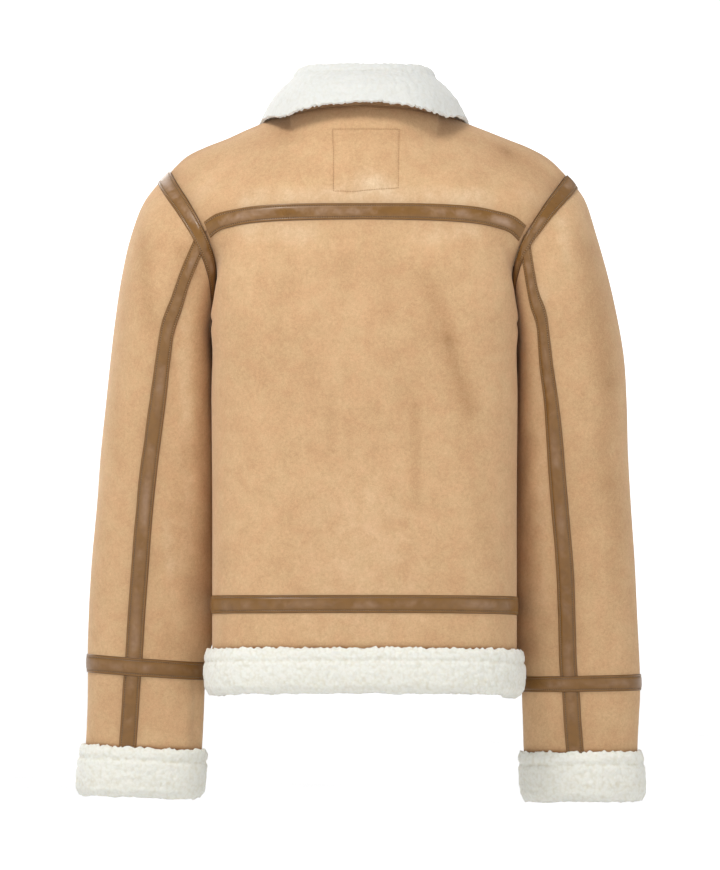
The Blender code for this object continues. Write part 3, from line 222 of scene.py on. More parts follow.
# Collar, one half: share of the neck seam from the back, fold x, y, z, and fall edge x, y, z
COLLAR_SHARES = (0.00, 0.17, 0.33, 0.46, 0.60, 0.75, 0.88, 1.00)
COLLAR_FOLD = (
    (0.0, 0.057, 0.047), (0.038, 0.048, 0.0468), (0.06, 0.024, 0.0455), (0.066, -0.003, 0.04),
    (0.062, -0.034, 0.023), (0.05, -0.061, -0.001), (0.03, -0.078, -0.024), (0.008, -0.086, -0.04),
)
COLLAR_EDGE = (
    (0.0, 0.0885, 0.0195), (0.05, 0.0785, 0.015), (0.0805, 0.052, 0.0055), (0.0975, 0.015, 0.004),
    (0.102, -0.033, -0.009), (0.098, -0.078, -0.039), (0.088, -0.108, -0.073), (0.07, -0.126, -0.108),
)
COLLAR_SUEDE_WALL = 0.0020
COLLAR_BEND_HALF = 0.0050
COLLAR_BEND_HEIGHT = 0.0060
COLLAR_BOW = 0.0030
COLLAR_EDGE_REACH = 0.0045
COLLAR_SEAM_GAP = 0.0006
COLLAR_LAYER_GAP = 0.0003
COLLAR_FINENESS = 4

# Points of a collar section, as places between its seven guide points, and the pile's depth at each
COLLAR_PLACES = (0.0, 0.8, 1.6, 2.0, 2.5, 3.0, 3.5, 4.0, 4.7, 5.4, 6.0)
COLLAR_PILE = (0.0045, 0.0066, 0.0074, 0.0078, 0.0080, 0.0080, 0.0080, 0.0080, 0.0080, 0.0072, 0.0030)

# Front zip: room above its last tooth. Teeth: pitch, depths, place of the first, shift to their own side,
# share of their height that is kept, and outline as place across the zip and half height
ZIP_TOP_MARGIN = 0.006
TOOTH_PITCH = 0.0026
TOOTH_DEPTHS = (0.0013, 0.0039)
TOOTH_START = 0.002
TOOTH_OFFSET = 0.0003
TOOTH_RISE = 0.72
TOOTH_PROFILE = ((-0.0026, 0.00095), (-0.0008, 0.00095), (0.0004, 0.0007), (0.0012, 0.0003))

# Fine cloth: distance between its points, angles in degrees beyond which an edge of cloth and of tape or pile
# is shaded sharp, and how cloth turns in at a seam that no tape covers
STEP = 0.0042
CLOTH_SHARP = 50.0
TAPE_SHARP = 60.0
SEAM_PLACES = (0.0012, 0.0026)
SEAM_DIP = 0.0007
SEAM_DIP_WIDTH = 0.0030

# Section of a tape: place across it from -1 to 1, height of its face over the cloth
TAPE_PROFILE = (
    (-1.0, 0.0002), (-0.99, 0.0008), (-0.94, 0.0012), (-0.77, 0.00125), (-0.72, 0.00085), (-0.67, 0.0013),
    (-0.45, 0.0017), (0.0, 0.0018), (0.45, 0.0017), (0.67, 0.0013), (0.72, 0.00085), (0.77, 0.00125),
    (0.94, 0.0012), (0.99, 0.0008), (1.0, 0.0002),
)
TAPE_BOTTOM = 0.0001

# Rise over a crossed tape: height, length of the ramp, share of it for the armhole tape and for the underside
CROSSING_HEIGHT = 0.0013
CROSSING_RAMP = 0.006
ARMHOLE_LIFT = 0.6
BOTTOM_LIFT = 0.85

# Stitches: place across a tape, height, pitch, length, radius, sides, and where along them they are full
STITCH_PLACE = 0.72
STITCH_HEIGHT = 0.0010
STITCH_PITCH = 0.0025
STITCH_LENGTH = 0.0015
STITCH_RADIUS = 0.00040
STITCH_SIDES = 5
STITCH_SHOULDER = 0.28

# Stitched patch on the yoke: x and z of its corners, groove along its stitches, least y of the cloth with it
PATCH_CORNERS = (
    (0.0332, -0.0136), (-0.0358, -0.0136), (-0.0352, -0.045), (-0.0348, -0.0749), (-0.012, -0.0762),
    (0.011, -0.0786), (0.0322, -0.078), (0.032, -0.045),
)
PATCH_GROOVE = 0.0007
PATCH_GROOVE_WIDTH = 0.0016
BEHIND_Y = 0.03
PATCH_STITCH_PITCH = 0.0015
YOKE_STEP = 0.0021

# Stitches below the neck seam: distance, columns left free at both ends, points of their line, height
NECK_STITCH_BELOW = 0.0055
NECK_STITCH_MARGIN = 0.3
NECK_STITCH_POINTS = 90
NECK_STITCH_HEIGHT = 0.0001

# Fine grid in which the places of an outline are looked up: rows, columns, its reach to each side of the
# middle in coarse columns, and the count of nearest points whose mean is taken
LOOKUP_ROWS = 260
LOOKUP_COLUMNS = 320
LOOKUP_REACH = 4
LOOKUP_NEAREST = 4

# Painted shade on the cloth: its reach beside a seam, and strength and reach of the painted shadow under a
# sherpa band
SEAM_SHADE_REACH = 0.009
FUR_SHADE = 1.7
FUR_SHADE_REACH = 0.0032

# Round stage: floor level, reach, radius of the bend at its rim, height of the wall above it, sides, radii of
# the inner rings, glow of its white where it is full, colour, and strength of the light from all round
FLOOR_LEVEL = -0.86
STAGE_REACH = 26.0
STAGE_BEND = 1.5
STAGE_WALL = 4.6
STAGE_SIDES = 48
STAGE_RINGS = (0.5, 0.8, 1.1, 1.4, 1.7, 2.0, 2.3, 6.0)
STAGE_GLOW = 0.64
STAGE_WHITE = (0.93, 0.93, 0.93)
WORLD_STRENGTH = 0.44

# Lights: name, place, level of the point on the middle line that it is aimed at, size, power
LIGHTS = (
    ("key", (1.0, 1.6, 2.3), -0.20, 1.0, 56.0),
    ("fill", (-2.4, 3.2, 0.6), -0.35, 2.0, 15.0),
    ("front", (0.9, -2.3, 1.2), -0.30, 1.6, 38.0),
)

# Camera: place, height of its sensor in millimetres, height of what it sees at the jacket, farthest it sees
CAMERA_PLACE = (0.0047, 14.0, -0.330)
SENSOR_HEIGHT = 36.0
PICTURE_HEIGHT = 0.9048
CAMERA_CLIP = 60.0

# Creases of the cloth, seen from behind or from the front: x and z of one end, x and z of the other, half its
# width, height of the cloth there (negative for a trough)
CREASES = {
    "back": (
        (0.196, -0.262, 0.176, -0.36, 0.01, -0.0025), (0.182, -0.3, 0.168, -0.42, 0.008, 0.0015),
        (0.24, -0.33, 0.19, -0.372, 0.012, -0.0018), (0.262, -0.39, 0.225, -0.418, 0.013, -0.0015),
        (0.205, -0.47, 0.17, -0.5, 0.011, -0.002), (-0.19, -0.27, -0.172, -0.352, 0.009, -0.0025),
        (-0.178, -0.33, -0.166, -0.4, 0.008, 0.0015), (-0.262, -0.345, -0.222, -0.372, 0.012, -0.0018),
        (-0.248, -0.42, -0.205, -0.44, 0.012, -0.0015), (-0.2, -0.52, -0.168, -0.545, 0.01, -0.0018),
        (0.1745, -0.59, 0.1765, -0.655, 0.004, -0.0022), (0.183, -0.6, 0.185, -0.65, 0.006, 0.0012),
        (-0.088, -0.19, -0.096, -0.33, 0.013, -0.0012), (-0.05, -0.28, -0.052, -0.42, 0.011, -0.001),
        (0.058, -0.2, 0.066, -0.33, 0.014, 0.001),
    ),
    "front": (
        (0.12, -0.23, 0.06, -0.3, 0.014, -0.002), (0.128, -0.3, 0.08, -0.4, 0.014, 0.0015),
        (-0.12, -0.235, -0.065, -0.31, 0.014, -0.002), (-0.128, -0.31, -0.078, -0.39, 0.014, 0.0015),
        (0.215, -0.33, 0.262, -0.35, 0.012, -0.0025), (0.2, -0.375, 0.256, -0.385, 0.012, 0.002),
        (0.198, -0.415, 0.25, -0.44, 0.012, -0.0022), (-0.215, -0.335, -0.26, -0.35, 0.012, -0.0025),
        (-0.2, -0.38, -0.254, -0.392, 0.012, 0.002), (-0.198, -0.425, -0.248, -0.445, 0.012, -0.0022),
    ),
}

# How fast creases fade as the cloth turns away, and the smears of nap, painted shade and painted highlight
# with the distance behind the middle plane
CREASE_FACING = 2.5
NAP_AND_SHADE_FACING = 30.0

# Smears of the nap mixed with painted shade and painted highlights, seen from behind: x and z of both ends,
# reach, shade (below 0 is dark). Rows just below the neck are painted shadow under the collar, and the light
# rows on the yoke are painted highlights
BODY_NAP_AND_SHADE = (
    (-0.066, -0.17, -0.086, -0.232, 0.012, -0.55), (-0.086, -0.232, -0.108, -0.305, 0.01, -0.75),
    (-0.098, -0.26, -0.112, -0.33, 0.022, -0.3), (-0.052, -0.3, -0.053, -0.4, 0.006, -0.65),
    (-0.05, -0.17, -0.052, -0.3, 0.02, -0.18), (-0.02, -0.145, -0.022, -0.2, 0.012, -0.4),
    (0.02, -0.15, 0.022, -0.19, 0.01, -0.3), (0.036, -0.29, 0.034, -0.345, 0.006, -0.35),
    (0.015, -0.31, 0.016, -0.35, 0.005, -0.3), (0.085, -0.18, 0.1, -0.27, 0.018, -0.25),
    (0.125, -0.215, 0.13, -0.25, 0.012, -0.22), (-0.11, -0.345, -0.128, -0.46, 0.01, -0.25),
    (0.0, -0.44, 0.0, -0.48, 0.1, 0.18), (0.085, -0.012, 0.125, -0.028, 0.014, -0.65),
    (-0.085, -0.012, -0.145, -0.032, 0.014, -0.65), (-0.15, -0.038, -0.195, -0.062, 0.016, -0.7),
    (0.15, -0.035, 0.175, -0.055, 0.013, -0.35), (0.06, -0.055, 0.12, -0.06, 0.02, -0.22),
    (-0.06, -0.055, -0.12, -0.06, 0.02, -0.22), (0.158, -0.07, 0.182, -0.088, 0.012, 0.25),
    (-0.165, -0.078, -0.19, -0.09, 0.012, 0.25), (0.12, -0.086, -0.12, -0.084, 0.017, 0.42),
    (0.0, -0.066, -0.018, -0.072, 0.014, 0.35), (0.08, -0.018, -0.08, -0.018, 0.01, -0.28),
    (0.12, -0.118, 0.06, -0.122, 0.015, 0.3), (-0.11, -0.118, -0.06, -0.122, 0.014, 0.3),
)
# On the sleeves the rows below -2 are painted shadow in the gap between sleeve and torso, and the dark rows
# beside the forearm tape's inner end are painted shade
SLEEVE_NAP_AND_SHADE = (
    (0.232, -0.12, 0.222, -0.215, 0.008, -0.75), (0.245, -0.15, 0.256, -0.24, 0.012, -0.3),
    (0.268, -0.27, 0.262, -0.35, 0.013, -0.5), (0.272, -0.43, 0.276, -0.54, 0.012, -0.3),
    (0.186, -0.21, 0.184, -0.47, 0.01, 0.22), (0.176, -0.48, 0.172, -0.545, 0.011, -0.85),
    (0.19, -0.14, 0.176, -0.16, 0.008, -0.7), (0.205, -0.42, 0.196, -0.54, 0.008, 0.25),
    (-0.232, -0.14, -0.252, -0.27, 0.015, -0.8), (-0.256, -0.28, -0.25, -0.38, 0.012, -0.45),
    (-0.262, -0.38, -0.272, -0.5, 0.014, -0.6), (-0.225, -0.42, -0.222, -0.54, 0.01, -0.2),
    (-0.182, -0.18, -0.186, -0.54, 0.01, 0.22), (-0.166, -0.33, -0.166, -0.42, 0.006, -0.55),
    (-0.205, -0.11, -0.212, -0.15, 0.01, 0.3), (0.2, -0.632, 0.28, -0.634, 0.01, -0.5),
    (0.162, -0.44, 0.161, -0.59, 0.006, -2.6), (0.2, -0.548, 0.17, -0.558, 0.015, -1.25),
    (0.2, -0.598, 0.172, -0.604, 0.008, -0.8), (0.175, -0.6, 0.177, -0.655, 0.004, -0.9),
    (-0.158, -0.25, -0.159, -0.6, 0.004, -2.6), (0.278, -0.58, 0.28, -0.63, 0.009, -0.45),
    (-0.21, -0.64, -0.285, -0.642, 0.012, -0.45), (-0.27, -0.59, -0.272, -0.64, 0.01, -0.35),
)

# Pile: size of its curls, their radius as a share of that, and how far they stand out. Then step between its
# points, fringe of the collar, dimples, and tufts and waves of a band's edges
CURL_SIZE = 0.0062
CURL_RADIUS = 0.75
CURL_HEIGHT = 0.0010
FINE_CURL_SIZE = 0.0024
FINE_CURL_HEIGHT = 0.0006
PILE_STEP = 0.0017
FRINGE_REACH = 0.0026
FRINGE_HEIGHT = 0.0030
FRINGE_SIZE = 0.0029
FRINGE_WIDTH = 0.004
COLLAR_END_ROUND = 0.006
COLLAR_END_DEPTH = 0.25
DIMPLE_SIZE = 0.0045
DIMPLE_CONTRAST = 2.5
DIMPLE_SHARE = 0.2
EDGE_TUFT_SIZE = 0.0038
EDGE_TUFT_HEIGHT = 0.0030
EDGE_TUFT_REACH = 0.004
EDGE_WAVE_SIZE = 0.0150
EDGE_WAVE_HEIGHT = 0.0026
EDGE_WAVE_REACH = 0.008

# Dented seam line of a sherpa band: distance below the band's top, depth and width. The band's outside is
# what lies beyond a small distance out from the cloth, and what the wall covers has no curls
BAND_SEAM_BELOW = 0.0125
BAND_PRESS = 0.0016
BAND_PRESS_WIDTH = 0.0022
OUTSIDE = 0.001
COVERED_MARGIN = 0.0012
COVERED_DEPTH = 0.002

# Painted shade in the dimples of a sherpa band: strength and width of their line at the seam and near the
# lower edge
SEAM_DIMPLES = 0.75
SEAM_DIMPLE_WIDTH = 0.0013
LOW_DIMPLES = 0.50
LOW_DIMPLE_WIDTH = 0.0035
LOW_DIMPLE_ABOVE = 0.001

# Linear colours
SUEDE_GOLD = (0.745, 0.508, 0.285)
SUEDE_ROSE = (0.730, 0.462, 0.258)
# Dark end of the suede's tone, reached by its mottling and by painted shade
SUEDE_DARK = (0.340, 0.172, 0.070)
# Painted shade beside seams and at sherpa bands, and painted shadow in the gap between sleeve and torso
SUEDE_PAINTED_SHADE = (0.230, 0.105, 0.042)
LEATHER_COLOUR = (0.214, 0.100, 0.021)
# Painted highlight of the tapes, then painted shade at their rims, stitch groove and wrinkles
LEATHER_PAINTED_HIGHLIGHT = (0.430, 0.280, 0.185)
LEATHER_PAINTED_SHADE = (0.082, 0.032, 0.009)
SHERPA_COLOUR = (0.860, 0.855, 0.785)
# Painted shade between the sherpa's curls and in its dimples
SHERPA_SHADOW = (0.745, 0.715, 0.600)
THREAD_COLOUR = (0.430, 0.290, 0.160)
SUEDE_THREAD_COLOUR = (0.560, 0.330, 0.165)
# Pale suede of the light smears, partly nap and partly painted highlight
SUEDE_PALE = (0.780, 0.585, 0.375)
# Collar pile: the sherpa painted darker and with less contrast, as painted shade against the stronger light
# on the collar
COLLAR_SHADED_SHERPA = (0.700, 0.702, 0.668)
COLLAR_SHADOW = (0.645, 0.636, 0.580)


def unit(vectors):
    """Scale vectors to length one."""
    vectors = np.asarray(vectors, float)
    return vectors / np.linalg.norm(vectors, axis=-1, keepdims=True)


def smooth_step(value):
    """Rise smoothly from 0 to 1 while the value goes from 0 to 1."""
    value = np.clip(value, 0.0, 1.0)
    return value * value * (3.0 - 2.0 * value)


def bell(value, width):
    """1 at zero, falling smoothly to both sides within about a width."""
    return np.exp(-((value / width) ** 2))


def hermite(share, start, leave, end, arrive):
    """Cubic curve between two values with given slopes at both."""
    square = share * share
    cube = square * share
    return (
        start * (2 * cube - 3 * square + 1)
        + leave * (cube - 2 * square + share)
        + end * (3 * square - 2 * cube)
        + arrive * (cube - square)
    )


def looped(values, closed=True):
    """The values with the first one repeated at the end, if they go round."""
    return np.concatenate([values, values[:1]]) if closed else values


def spline(knots, values, places):
    """Read a smooth curve through the values at the knots."""
    knots = np.asarray(knots, float)
    values = np.asarray(values, float)
    places = np.asarray(places, float)
    gaps = np.diff(knots)
    gap_column = gaps.reshape((-1,) + (1,) * (values.ndim - 1))
    slopes = np.diff(values, axis=0) / gap_column
    tangents = np.empty_like(values)
    weighted = slopes[:-1] * gap_column[1:] + slopes[1:] * gap_column[:-1]
    tangents[1:-1] = weighted / (gap_column[:-1] + gap_column[1:])
    tangents[0] = 1.5 * slopes[0] - 0.5 * tangents[1] if len(knots) > 2 else slopes[0]
    tangents[-1] = 1.5 * slopes[-1] - 0.5 * tangents[-2] if len(knots) > 2 else slopes[-1]
    index = np.clip(np.searchsorted(knots, places, side="right") - 1, 0, len(gaps) - 1)
    share = (places - knots[index]) / gaps[index]
    shape = share.shape + (1,) * (values.ndim - 1)
    share = share.reshape(shape)
    gap = gaps[index].reshape(shape)
    return hermite(share, values[index], tangents[index] * gap, values[index + 1], tangents[index + 1] * gap)


def lengths_along(points):
    """Distance of each point from the first one, along the line through them."""
    steps = np.linalg.norm(np.diff(points, axis=0), axis=1)
    return np.concatenate(([0.0], np.cumsum(steps)))


def at_distances_of(values, travelled, distances):
    """Values at given distances along a line whose points have them."""
    return np.stack([np.interp(distances, travelled, column) for column in values.T], axis=1)


def at_distances(points, distances):
    """Points at the given distances along a dense line."""
    return at_distances_of(points, lengths_along(points), distances)


def evenly(line, count):
    """Evenly spaced points along a line, one more than the count."""
    return at_distances(line, np.linspace(0.0, lengths_along(line)[-1], count + 1))


def even_points(points, count):
    """Evenly spaced points on the smooth curve through a few."""
    points = np.asarray(points, float)
    travelled = lengths_along(points)
    return evenly(spline(travelled, points, np.linspace(0.0, travelled[-1], DENSE)), count)


def grid_normals(points, closed=False):
    """Unit normals of a grid, which point out where its rows rise and its columns run clockwise."""
    down = np.gradient(points, axis=0)
    if closed:
        across = (np.roll(points, -1, axis=1) - np.roll(points, 1, axis=1)) / 2.0
    else:
        across = np.gradient(points, axis=1)
    return unit(np.cross(down, across))


def at_columns(line, tape_middle, turn, total):
    """Points of a closed line at the sleeve's columns, with three of them on the long tape."""
    return at_distances(line, np.concatenate([
        np.linspace(0.0, tape_middle - TAPE_WIDTH / 2, UNDER_COLUMNS + 1),
        [tape_middle],
        np.linspace(tape_middle + TAPE_WIDTH / 2, turn, CAP_COLUMNS + 1),
        np.linspace(turn, total, FRONT_ROWS + 1)[1:-1],
    ]))


def armhole_points(side):
    """Points of the armhole, one for each sleeve column, from the armpit up the back and down the front."""
    table = np.asarray(ARMHOLES[side])
    count = len(table)
    lap = np.concatenate([table[-3:], table, table[:4]])
    travelled = lengths_along(lap)
    knot_places = travelled[3:3 + count + 1]
    places = np.linspace(knot_places[0], knot_places[-1], DENSE * 4)
    line = spline(travelled, lap, places)
    ends = np.interp(knot_places, places, lengths_along(line))
    return at_columns(line, ends[ARMHOLE_YOKE_ROW], ends[ARMHOLE_TIP_ROW], ends[-1])


def section_at(level):
    """Half width, back y, front y and the two squarenesses of the torso at a level."""
    table = np.asarray(SECTIONS)
    return spline(table[:, 0], table[:, 1:], level)


def torso_row(level, back, edge_y):
    """Evenly spaced x and y of half a torso section, from the centre line to the side."""
    half_width, back_y, front_y, back_square, front_square = section_at(level)
    depth = back_y - SIDE_SEAM_Y if back else SIDE_SEAM_Y - front_y
    square = back_square if back else front_square
    reach = np.clip(abs(edge_y - SIDE_SEAM_Y) / depth, 0.0, 1.0)
    last = math.acos(reach ** (square / 2))
    first = 0.0 if back else math.asin((FRONT_EDGE_X / half_width) ** (square / 2))
    angles = np.linspace(first, last, DENSE)
    x = half_width * np.sin(angles) ** (2 / square)
    y = SIDE_SEAM_Y + (depth if back else -depth) * np.abs(np.cos(angles)) ** (2 / square)
    nearness = np.clip(1.0 - ((y - SIDE_PRESS_Y) / SIDE_PRESS_HALF) ** 2, 0.0, None)
    x = x - SIDE_PRESS * nearness ** 2 * smooth_step(x / half_width * 2 - 1)
    if back:
        beside = np.clip(1.0 - ((y - ARMPIT_PRESS_Y) / ARMPIT_PRESS_HALF) ** 2, 0.0, None)
        height = max(1.0 - ((level - ARMPIT_PRESS_LEVEL) / ARMPIT_PRESS_REACH) ** 2, 0.0)
        x = x - ARMPIT_PRESS * height ** 2 * beside ** 2
    return evenly(np.stack([x, y], axis=1), HALF_COLUMNS)


def hem_dip(level, side):
    """How far a row sinks at the side seam."""
    table = np.asarray(HEM_DIPS)[::-1]
    column = 1 if side == "left" else 2
    return spline(-table[:, 0], table[:, column], -level)


def lower_rows(side, back, armpit):
    """Rows of half a torso from the hidden end at the hem to just below the armpit, centre line first."""
    levels = (WALL_END_LEVEL, HEM_TOP_LEVEL, *HEM_TAPE_LEVELS, *PLAIN_LEVELS)
    armpit_row = torso_row(armpit[2], back, SIDE_SEAM_Y)
    pull = armpit[:2] - armpit_row[-1]
    rows = []
    for level in levels:
        flat = torso_row(level, back, SIDE_SEAM_Y)
        fade = 1.0 - smooth_step((armpit[2] - level) / ARMPIT_BLEND)
        beside = smooth_step((COLUMN_SHARES - EDGE_BLEND_FROM) / (1 - EDGE_BLEND_FROM))
        flat = flat + pull * (fade * beside)[:, None]
        heights = level - hem_dip(level, side) * COLUMN_SHARES ** HEM_DIP_POWER
        rows.append(np.column_stack([flat, heights]))
    return rows


def pulled_to_edge(row, edge, blend_from=EDGE_BLEND_FROM):
    """A row whose last stretch is drawn onto the point where it has to end."""
    shares = np.linspace(0.0, 1.0, len(row))
    weight = smooth_step((shares - blend_from) / (1 - blend_from))
    return row + (edge - row[-1]) * weight[:, None]


def back_ring_rows(armhole):
    """Rows of half the back from the armpit to the yoke seam."""
    drop = (1 - SHARP_TURN_SHARE) * COLUMN_SHARES ** 3.5 + SHARP_TURN_SHARE * COLUMN_SHARES ** 12
    bottom = armhole[0][2]
    top = armhole[YOKE_COLUMN][2]
    rows = []
    tape_edge = YOKE_SEAM_LEVEL - YOKE_TAPE_HALF
    for index, centre in enumerate([*np.linspace(bottom, tape_edge, YOKE_COLUMN), YOKE_SEAM_LEVEL]):
        edge = armhole[index]
        rise = (edge[2] - bottom) / (top - bottom)
        flat = torso_row((centre + edge[2]) / 2, True, max(edge[1], SIDE_SEAM_Y))
        heights = centre + (edge[2] - centre) * (drop * rise + COLUMN_SHARES * (1 - rise))
        rows.append(pulled_to_edge(np.column_stack([flat, heights]), edge, BACK_EDGE_BLEND_FROM))
    return rows


def front_ring_rows(armhole):
    """Rows of half the front from the armpit to the chest."""
    rows = []
    levels = np.linspace(armhole[0][2], armhole[-FRONT_RING_ROWS][2], FRONT_RING_ROWS + 1)
    for index, centre in enumerate(levels):
        edge = armhole[-index]
        flat = torso_row((centre + edge[2]) / 2, False, min(edge[1], SIDE_SEAM_Y))
        heights = centre + (edge[2] - centre) * COLUMN_SHARES
        rows.append(pulled_to_edge(np.column_stack([flat, heights]), edge))
    return rows


def top_edge(side, back, tip):
    """Upper edge of half the back or front: along the neck from the centre, then along the shoulder."""
    neck = even_points(NECK_BACK if back else NECK_FRONT[::-1], NECK_COLUMNS)
    shoulder = even_points([*SHOULDERS[side], tip], SHOULDER_COLUMNS)
    return np.concatenate([neck, shoulder[1:]])


def rising_rows(base, below, top, back, first_step, count, armhole_edge):
    """Rows that rise from the chest or yoke seam to the upper edge, curved over the shoulder."""
    forward = -1.0 if back else 1.0
    neck_share = NECK_COLUMNS / HALF_COLUMNS
    steepness = (0.80, 0.70, 0.25, 0.02) if back else (1.60, 0.90, 0.25, 0.02)
    slope = np.interp(COLUMN_SHARES, (0.0, neck_share * 0.6, neck_share, 1.0), steepness)
    arrive = unit(np.column_stack([np.zeros_like(slope), np.full_like(slope, forward), slope]))
    leave = unit(base - below)
    chord = np.linalg.norm(top - base, axis=1, keepdims=True)
    along = np.linspace(0.0, 1.0, DENSE)[:, None]
    columns = []
    for low, out, high, into, reach in zip(base, leave, top, arrive, chord):
        line = hermite(along, low, out * reach, high, into * reach)
        total = lengths_along(line)[-1]
        if first_step:
            distances = np.concatenate([[first_step], np.linspace(first_step, total, count)[1:]])
        else:
            distances = np.linspace(0.0, total, count + 1)[1:]
        columns.append(at_distances(line, distances))
    rows = np.stack(columns, axis=1)
    return [pulled_to_edge(row, edge) for row, edge in zip(rows, armhole_edge)]


def half_back(side, armhole):
    """Half of the back and yoke: rows from the hem up, columns from the centre to the side."""
    rows = lower_rows(side, True, armhole[0]) + back_ring_rows(armhole)
    top = top_edge(side, True, armhole[TIP_COLUMN])
    edges = armhole[YOKE_COLUMN + 1:TIP_COLUMN + 1]
    rows += rising_rows(rows[-1], rows[-2], top, True, YOKE_TAPE_HALF, len(edges), edges)
    rows[-1] = top
    return np.stack(rows)


def half_front(side, armhole):
    """One front: rows from the hem up, columns from the front edge to the side."""
    rows = lower_rows(side, False, armhole[0]) + front_ring_rows(armhole)
    top = top_edge(side, False, armhole[TIP_COLUMN])
    edges = armhole[TIP_COLUMN:SLEEVE_COLUMNS - FRONT_RING_ROWS][::-1]
    rows += rising_rows(rows[-1], rows[-2], top, False, 0.0, len(edges), edges)
    rows[-1] = top
    grid = np.stack(rows)
    grid[:, 0, 0] = FRONT_EDGE_X
    return grid


def ring_line(outer, inner, back_y, front_y):
    """Dense closed sleeve ring from its inner point over the back, the outer point and the front."""
    middle = (outer + inner) / 2
    reach = (outer - inner) / 2
    angles = np.linspace(0.0, 2 * math.pi, DENSE * 2 + 1)
    power = 2 / SLEEVE_SQUARENESS
    across = -np.sign(np.cos(angles)) * np.abs(np.cos(angles)) ** power
    deep = np.sign(np.sin(angles)) * np.abs(np.sin(angles)) ** power
    level_y = (back_y + front_y) / 2
    points = np.empty((len(angles), 3))
    points[:, 0] = middle[0] + reach[0] * across
    points[:, 1] = level_y + (back_y - front_y) / 2 * deep
    points[:, 2] = middle[1] + reach[1] * across
    return points


def ring_columns(line, tape_course):
    """Points of a ring at the sleeve's columns, with the long tape where its course crosses the ring."""
    travelled = lengths_along(line)
    half = len(line) // 2
    course = spline(-np.asarray(tape_course)[:, 0], np.asarray(tape_course)[:, 1], -line[:half, 2])
    beyond = line[:half, 0] - course
    crossing = int(np.argmax((beyond[1:] >= 0) & (beyond[:-1] < 0)))
    return at_columns(line, travelled[crossing + 1], travelled[half], travelled[-1])


def sleeve_grid(side, armhole):
    """Sleeve rows from the armhole down to the hidden end inside the cuff, as a closed ring of columns."""
    outline = np.asarray(SLEEVE_OUTLINES[side])
    high = armhole[TIP_COLUMN][[0, 2]]
    low = armhole[0][[0, 2]]
    flat_line = ring_line(high, low, armhole[:, 1].max(), armhole[:, 1].min())
    loop = lengths_along(np.concatenate([armhole, armhole[:1]]))
    flat = at_distances(flat_line, loop[:-1] / loop[-1] * lengths_along(flat_line)[-1])
    departure = armhole - flat
    rings = [armhole]
    for outer_z, inner_z, inner_x, back_y, front_y, share in (*SLEEVE_RINGS, *LOWER_RINGS[side]):
        outer_x = float(spline(-outline[:, 0], outline[:, 1], -outer_z))
        line = ring_line(np.array([outer_x, outer_z]), np.array([inner_x, inner_z]), back_y, front_y)
        rings.append(ring_columns(line, SLEEVE_TAPES[side]) + departure * share)
    rings = np.stack(rings)
    near = np.empty((2, SLEEVE_COLUMNS, 3))
    for column in range(SLEEVE_COLUMNS):
        travelled = lengths_along(rings[:, column])
        line = spline(travelled, rings[:, column], np.linspace(0.0, travelled[2], DENSE))
        near[:, column] = at_distances(line, [TAPE_WIDTH / 2, TAPE_WIDTH])
    return np.concatenate([rings[:1], near, rings[1:]])


def mirrored(grid, side):
    """The same points on their own side of the garment."""
    return grid if side == "left" else grid * np.array([-1.0, 1.0, 1.0])


def build_surfaces():
    """All outer grids with their normals, equal along each seam, so that wall edges stand face to face."""
    armholes = {side: armhole_points(side) for side in ARMHOLES}
    left = half_back("left", armholes["left"])
    right = mirrored(half_back("right", armholes["right"]), "right")
    back = np.concatenate([right[:, :0:-1], left], axis=1)
    back_normals = grid_normals(back)
    surfaces = {}
    for side in ARMHOLES:
        turn = 1.0 if side == "left" else -1.0
        front = mirrored(half_front(side, armholes[side]), side)
        front_normals = -turn * grid_normals(front)
        sleeve = mirrored(sleeve_grid(side, armholes[side]), side)
        sleeve_normals = -turn * grid_normals(sleeve, closed=True)
        half = slice(HALF_COLUMNS, None) if side == "left" else slice(HALF_COLUMNS, None, -1)
        half_grid = (back[:, half], back_normals[:, half])
        join_straight_seams(half_grid, (front, front_normals))
        join_armhole(half_grid, (front, front_normals), (sleeve, sleeve_normals))
        surfaces["front", side] = (front, front_normals)
        surfaces["sleeve", side] = (sleeve, sleeve_normals)
    surfaces["back", "both"] = (back, back_normals)
    return surfaces


def join_straight_seams(back, front):
    """Share the normals along the side and shoulder seams of one side, and part the side seam's edges."""
    for rows, columns in ((slice(0, ARMPIT_ROW), -1), (-1, slice(NECK_COLUMNS, -1))):
        shared = unit(back[1][rows, columns] + front[1][rows, columns])
        back[1][rows, columns] = shared
        front[1][rows, columns] = shared
    neck = np.concatenate([front[1][-1, :NECK_COLUMNS + 1], back[1][-1, NECK_COLUMNS - 1::-1]])
    for _ in range(NECK_SMOOTHING):
        neck[1:-1] = unit(neck[:-2] + 2 * neck[1:-1] + neck[2:])
    front[1][-1, :NECK_COLUMNS + 1] = neck[:NECK_COLUMNS + 1]
    back[1][-1, :NECK_COLUMNS + 1] = neck[:NECK_COLUMNS - 1:-1]
    for points, _ in (back, front):
        edge = points[:ARMPIT_ROW + 1, -1]
        edge += unit(points[:ARMPIT_ROW + 1, -2] - edge) * SEAM_GAP / 2


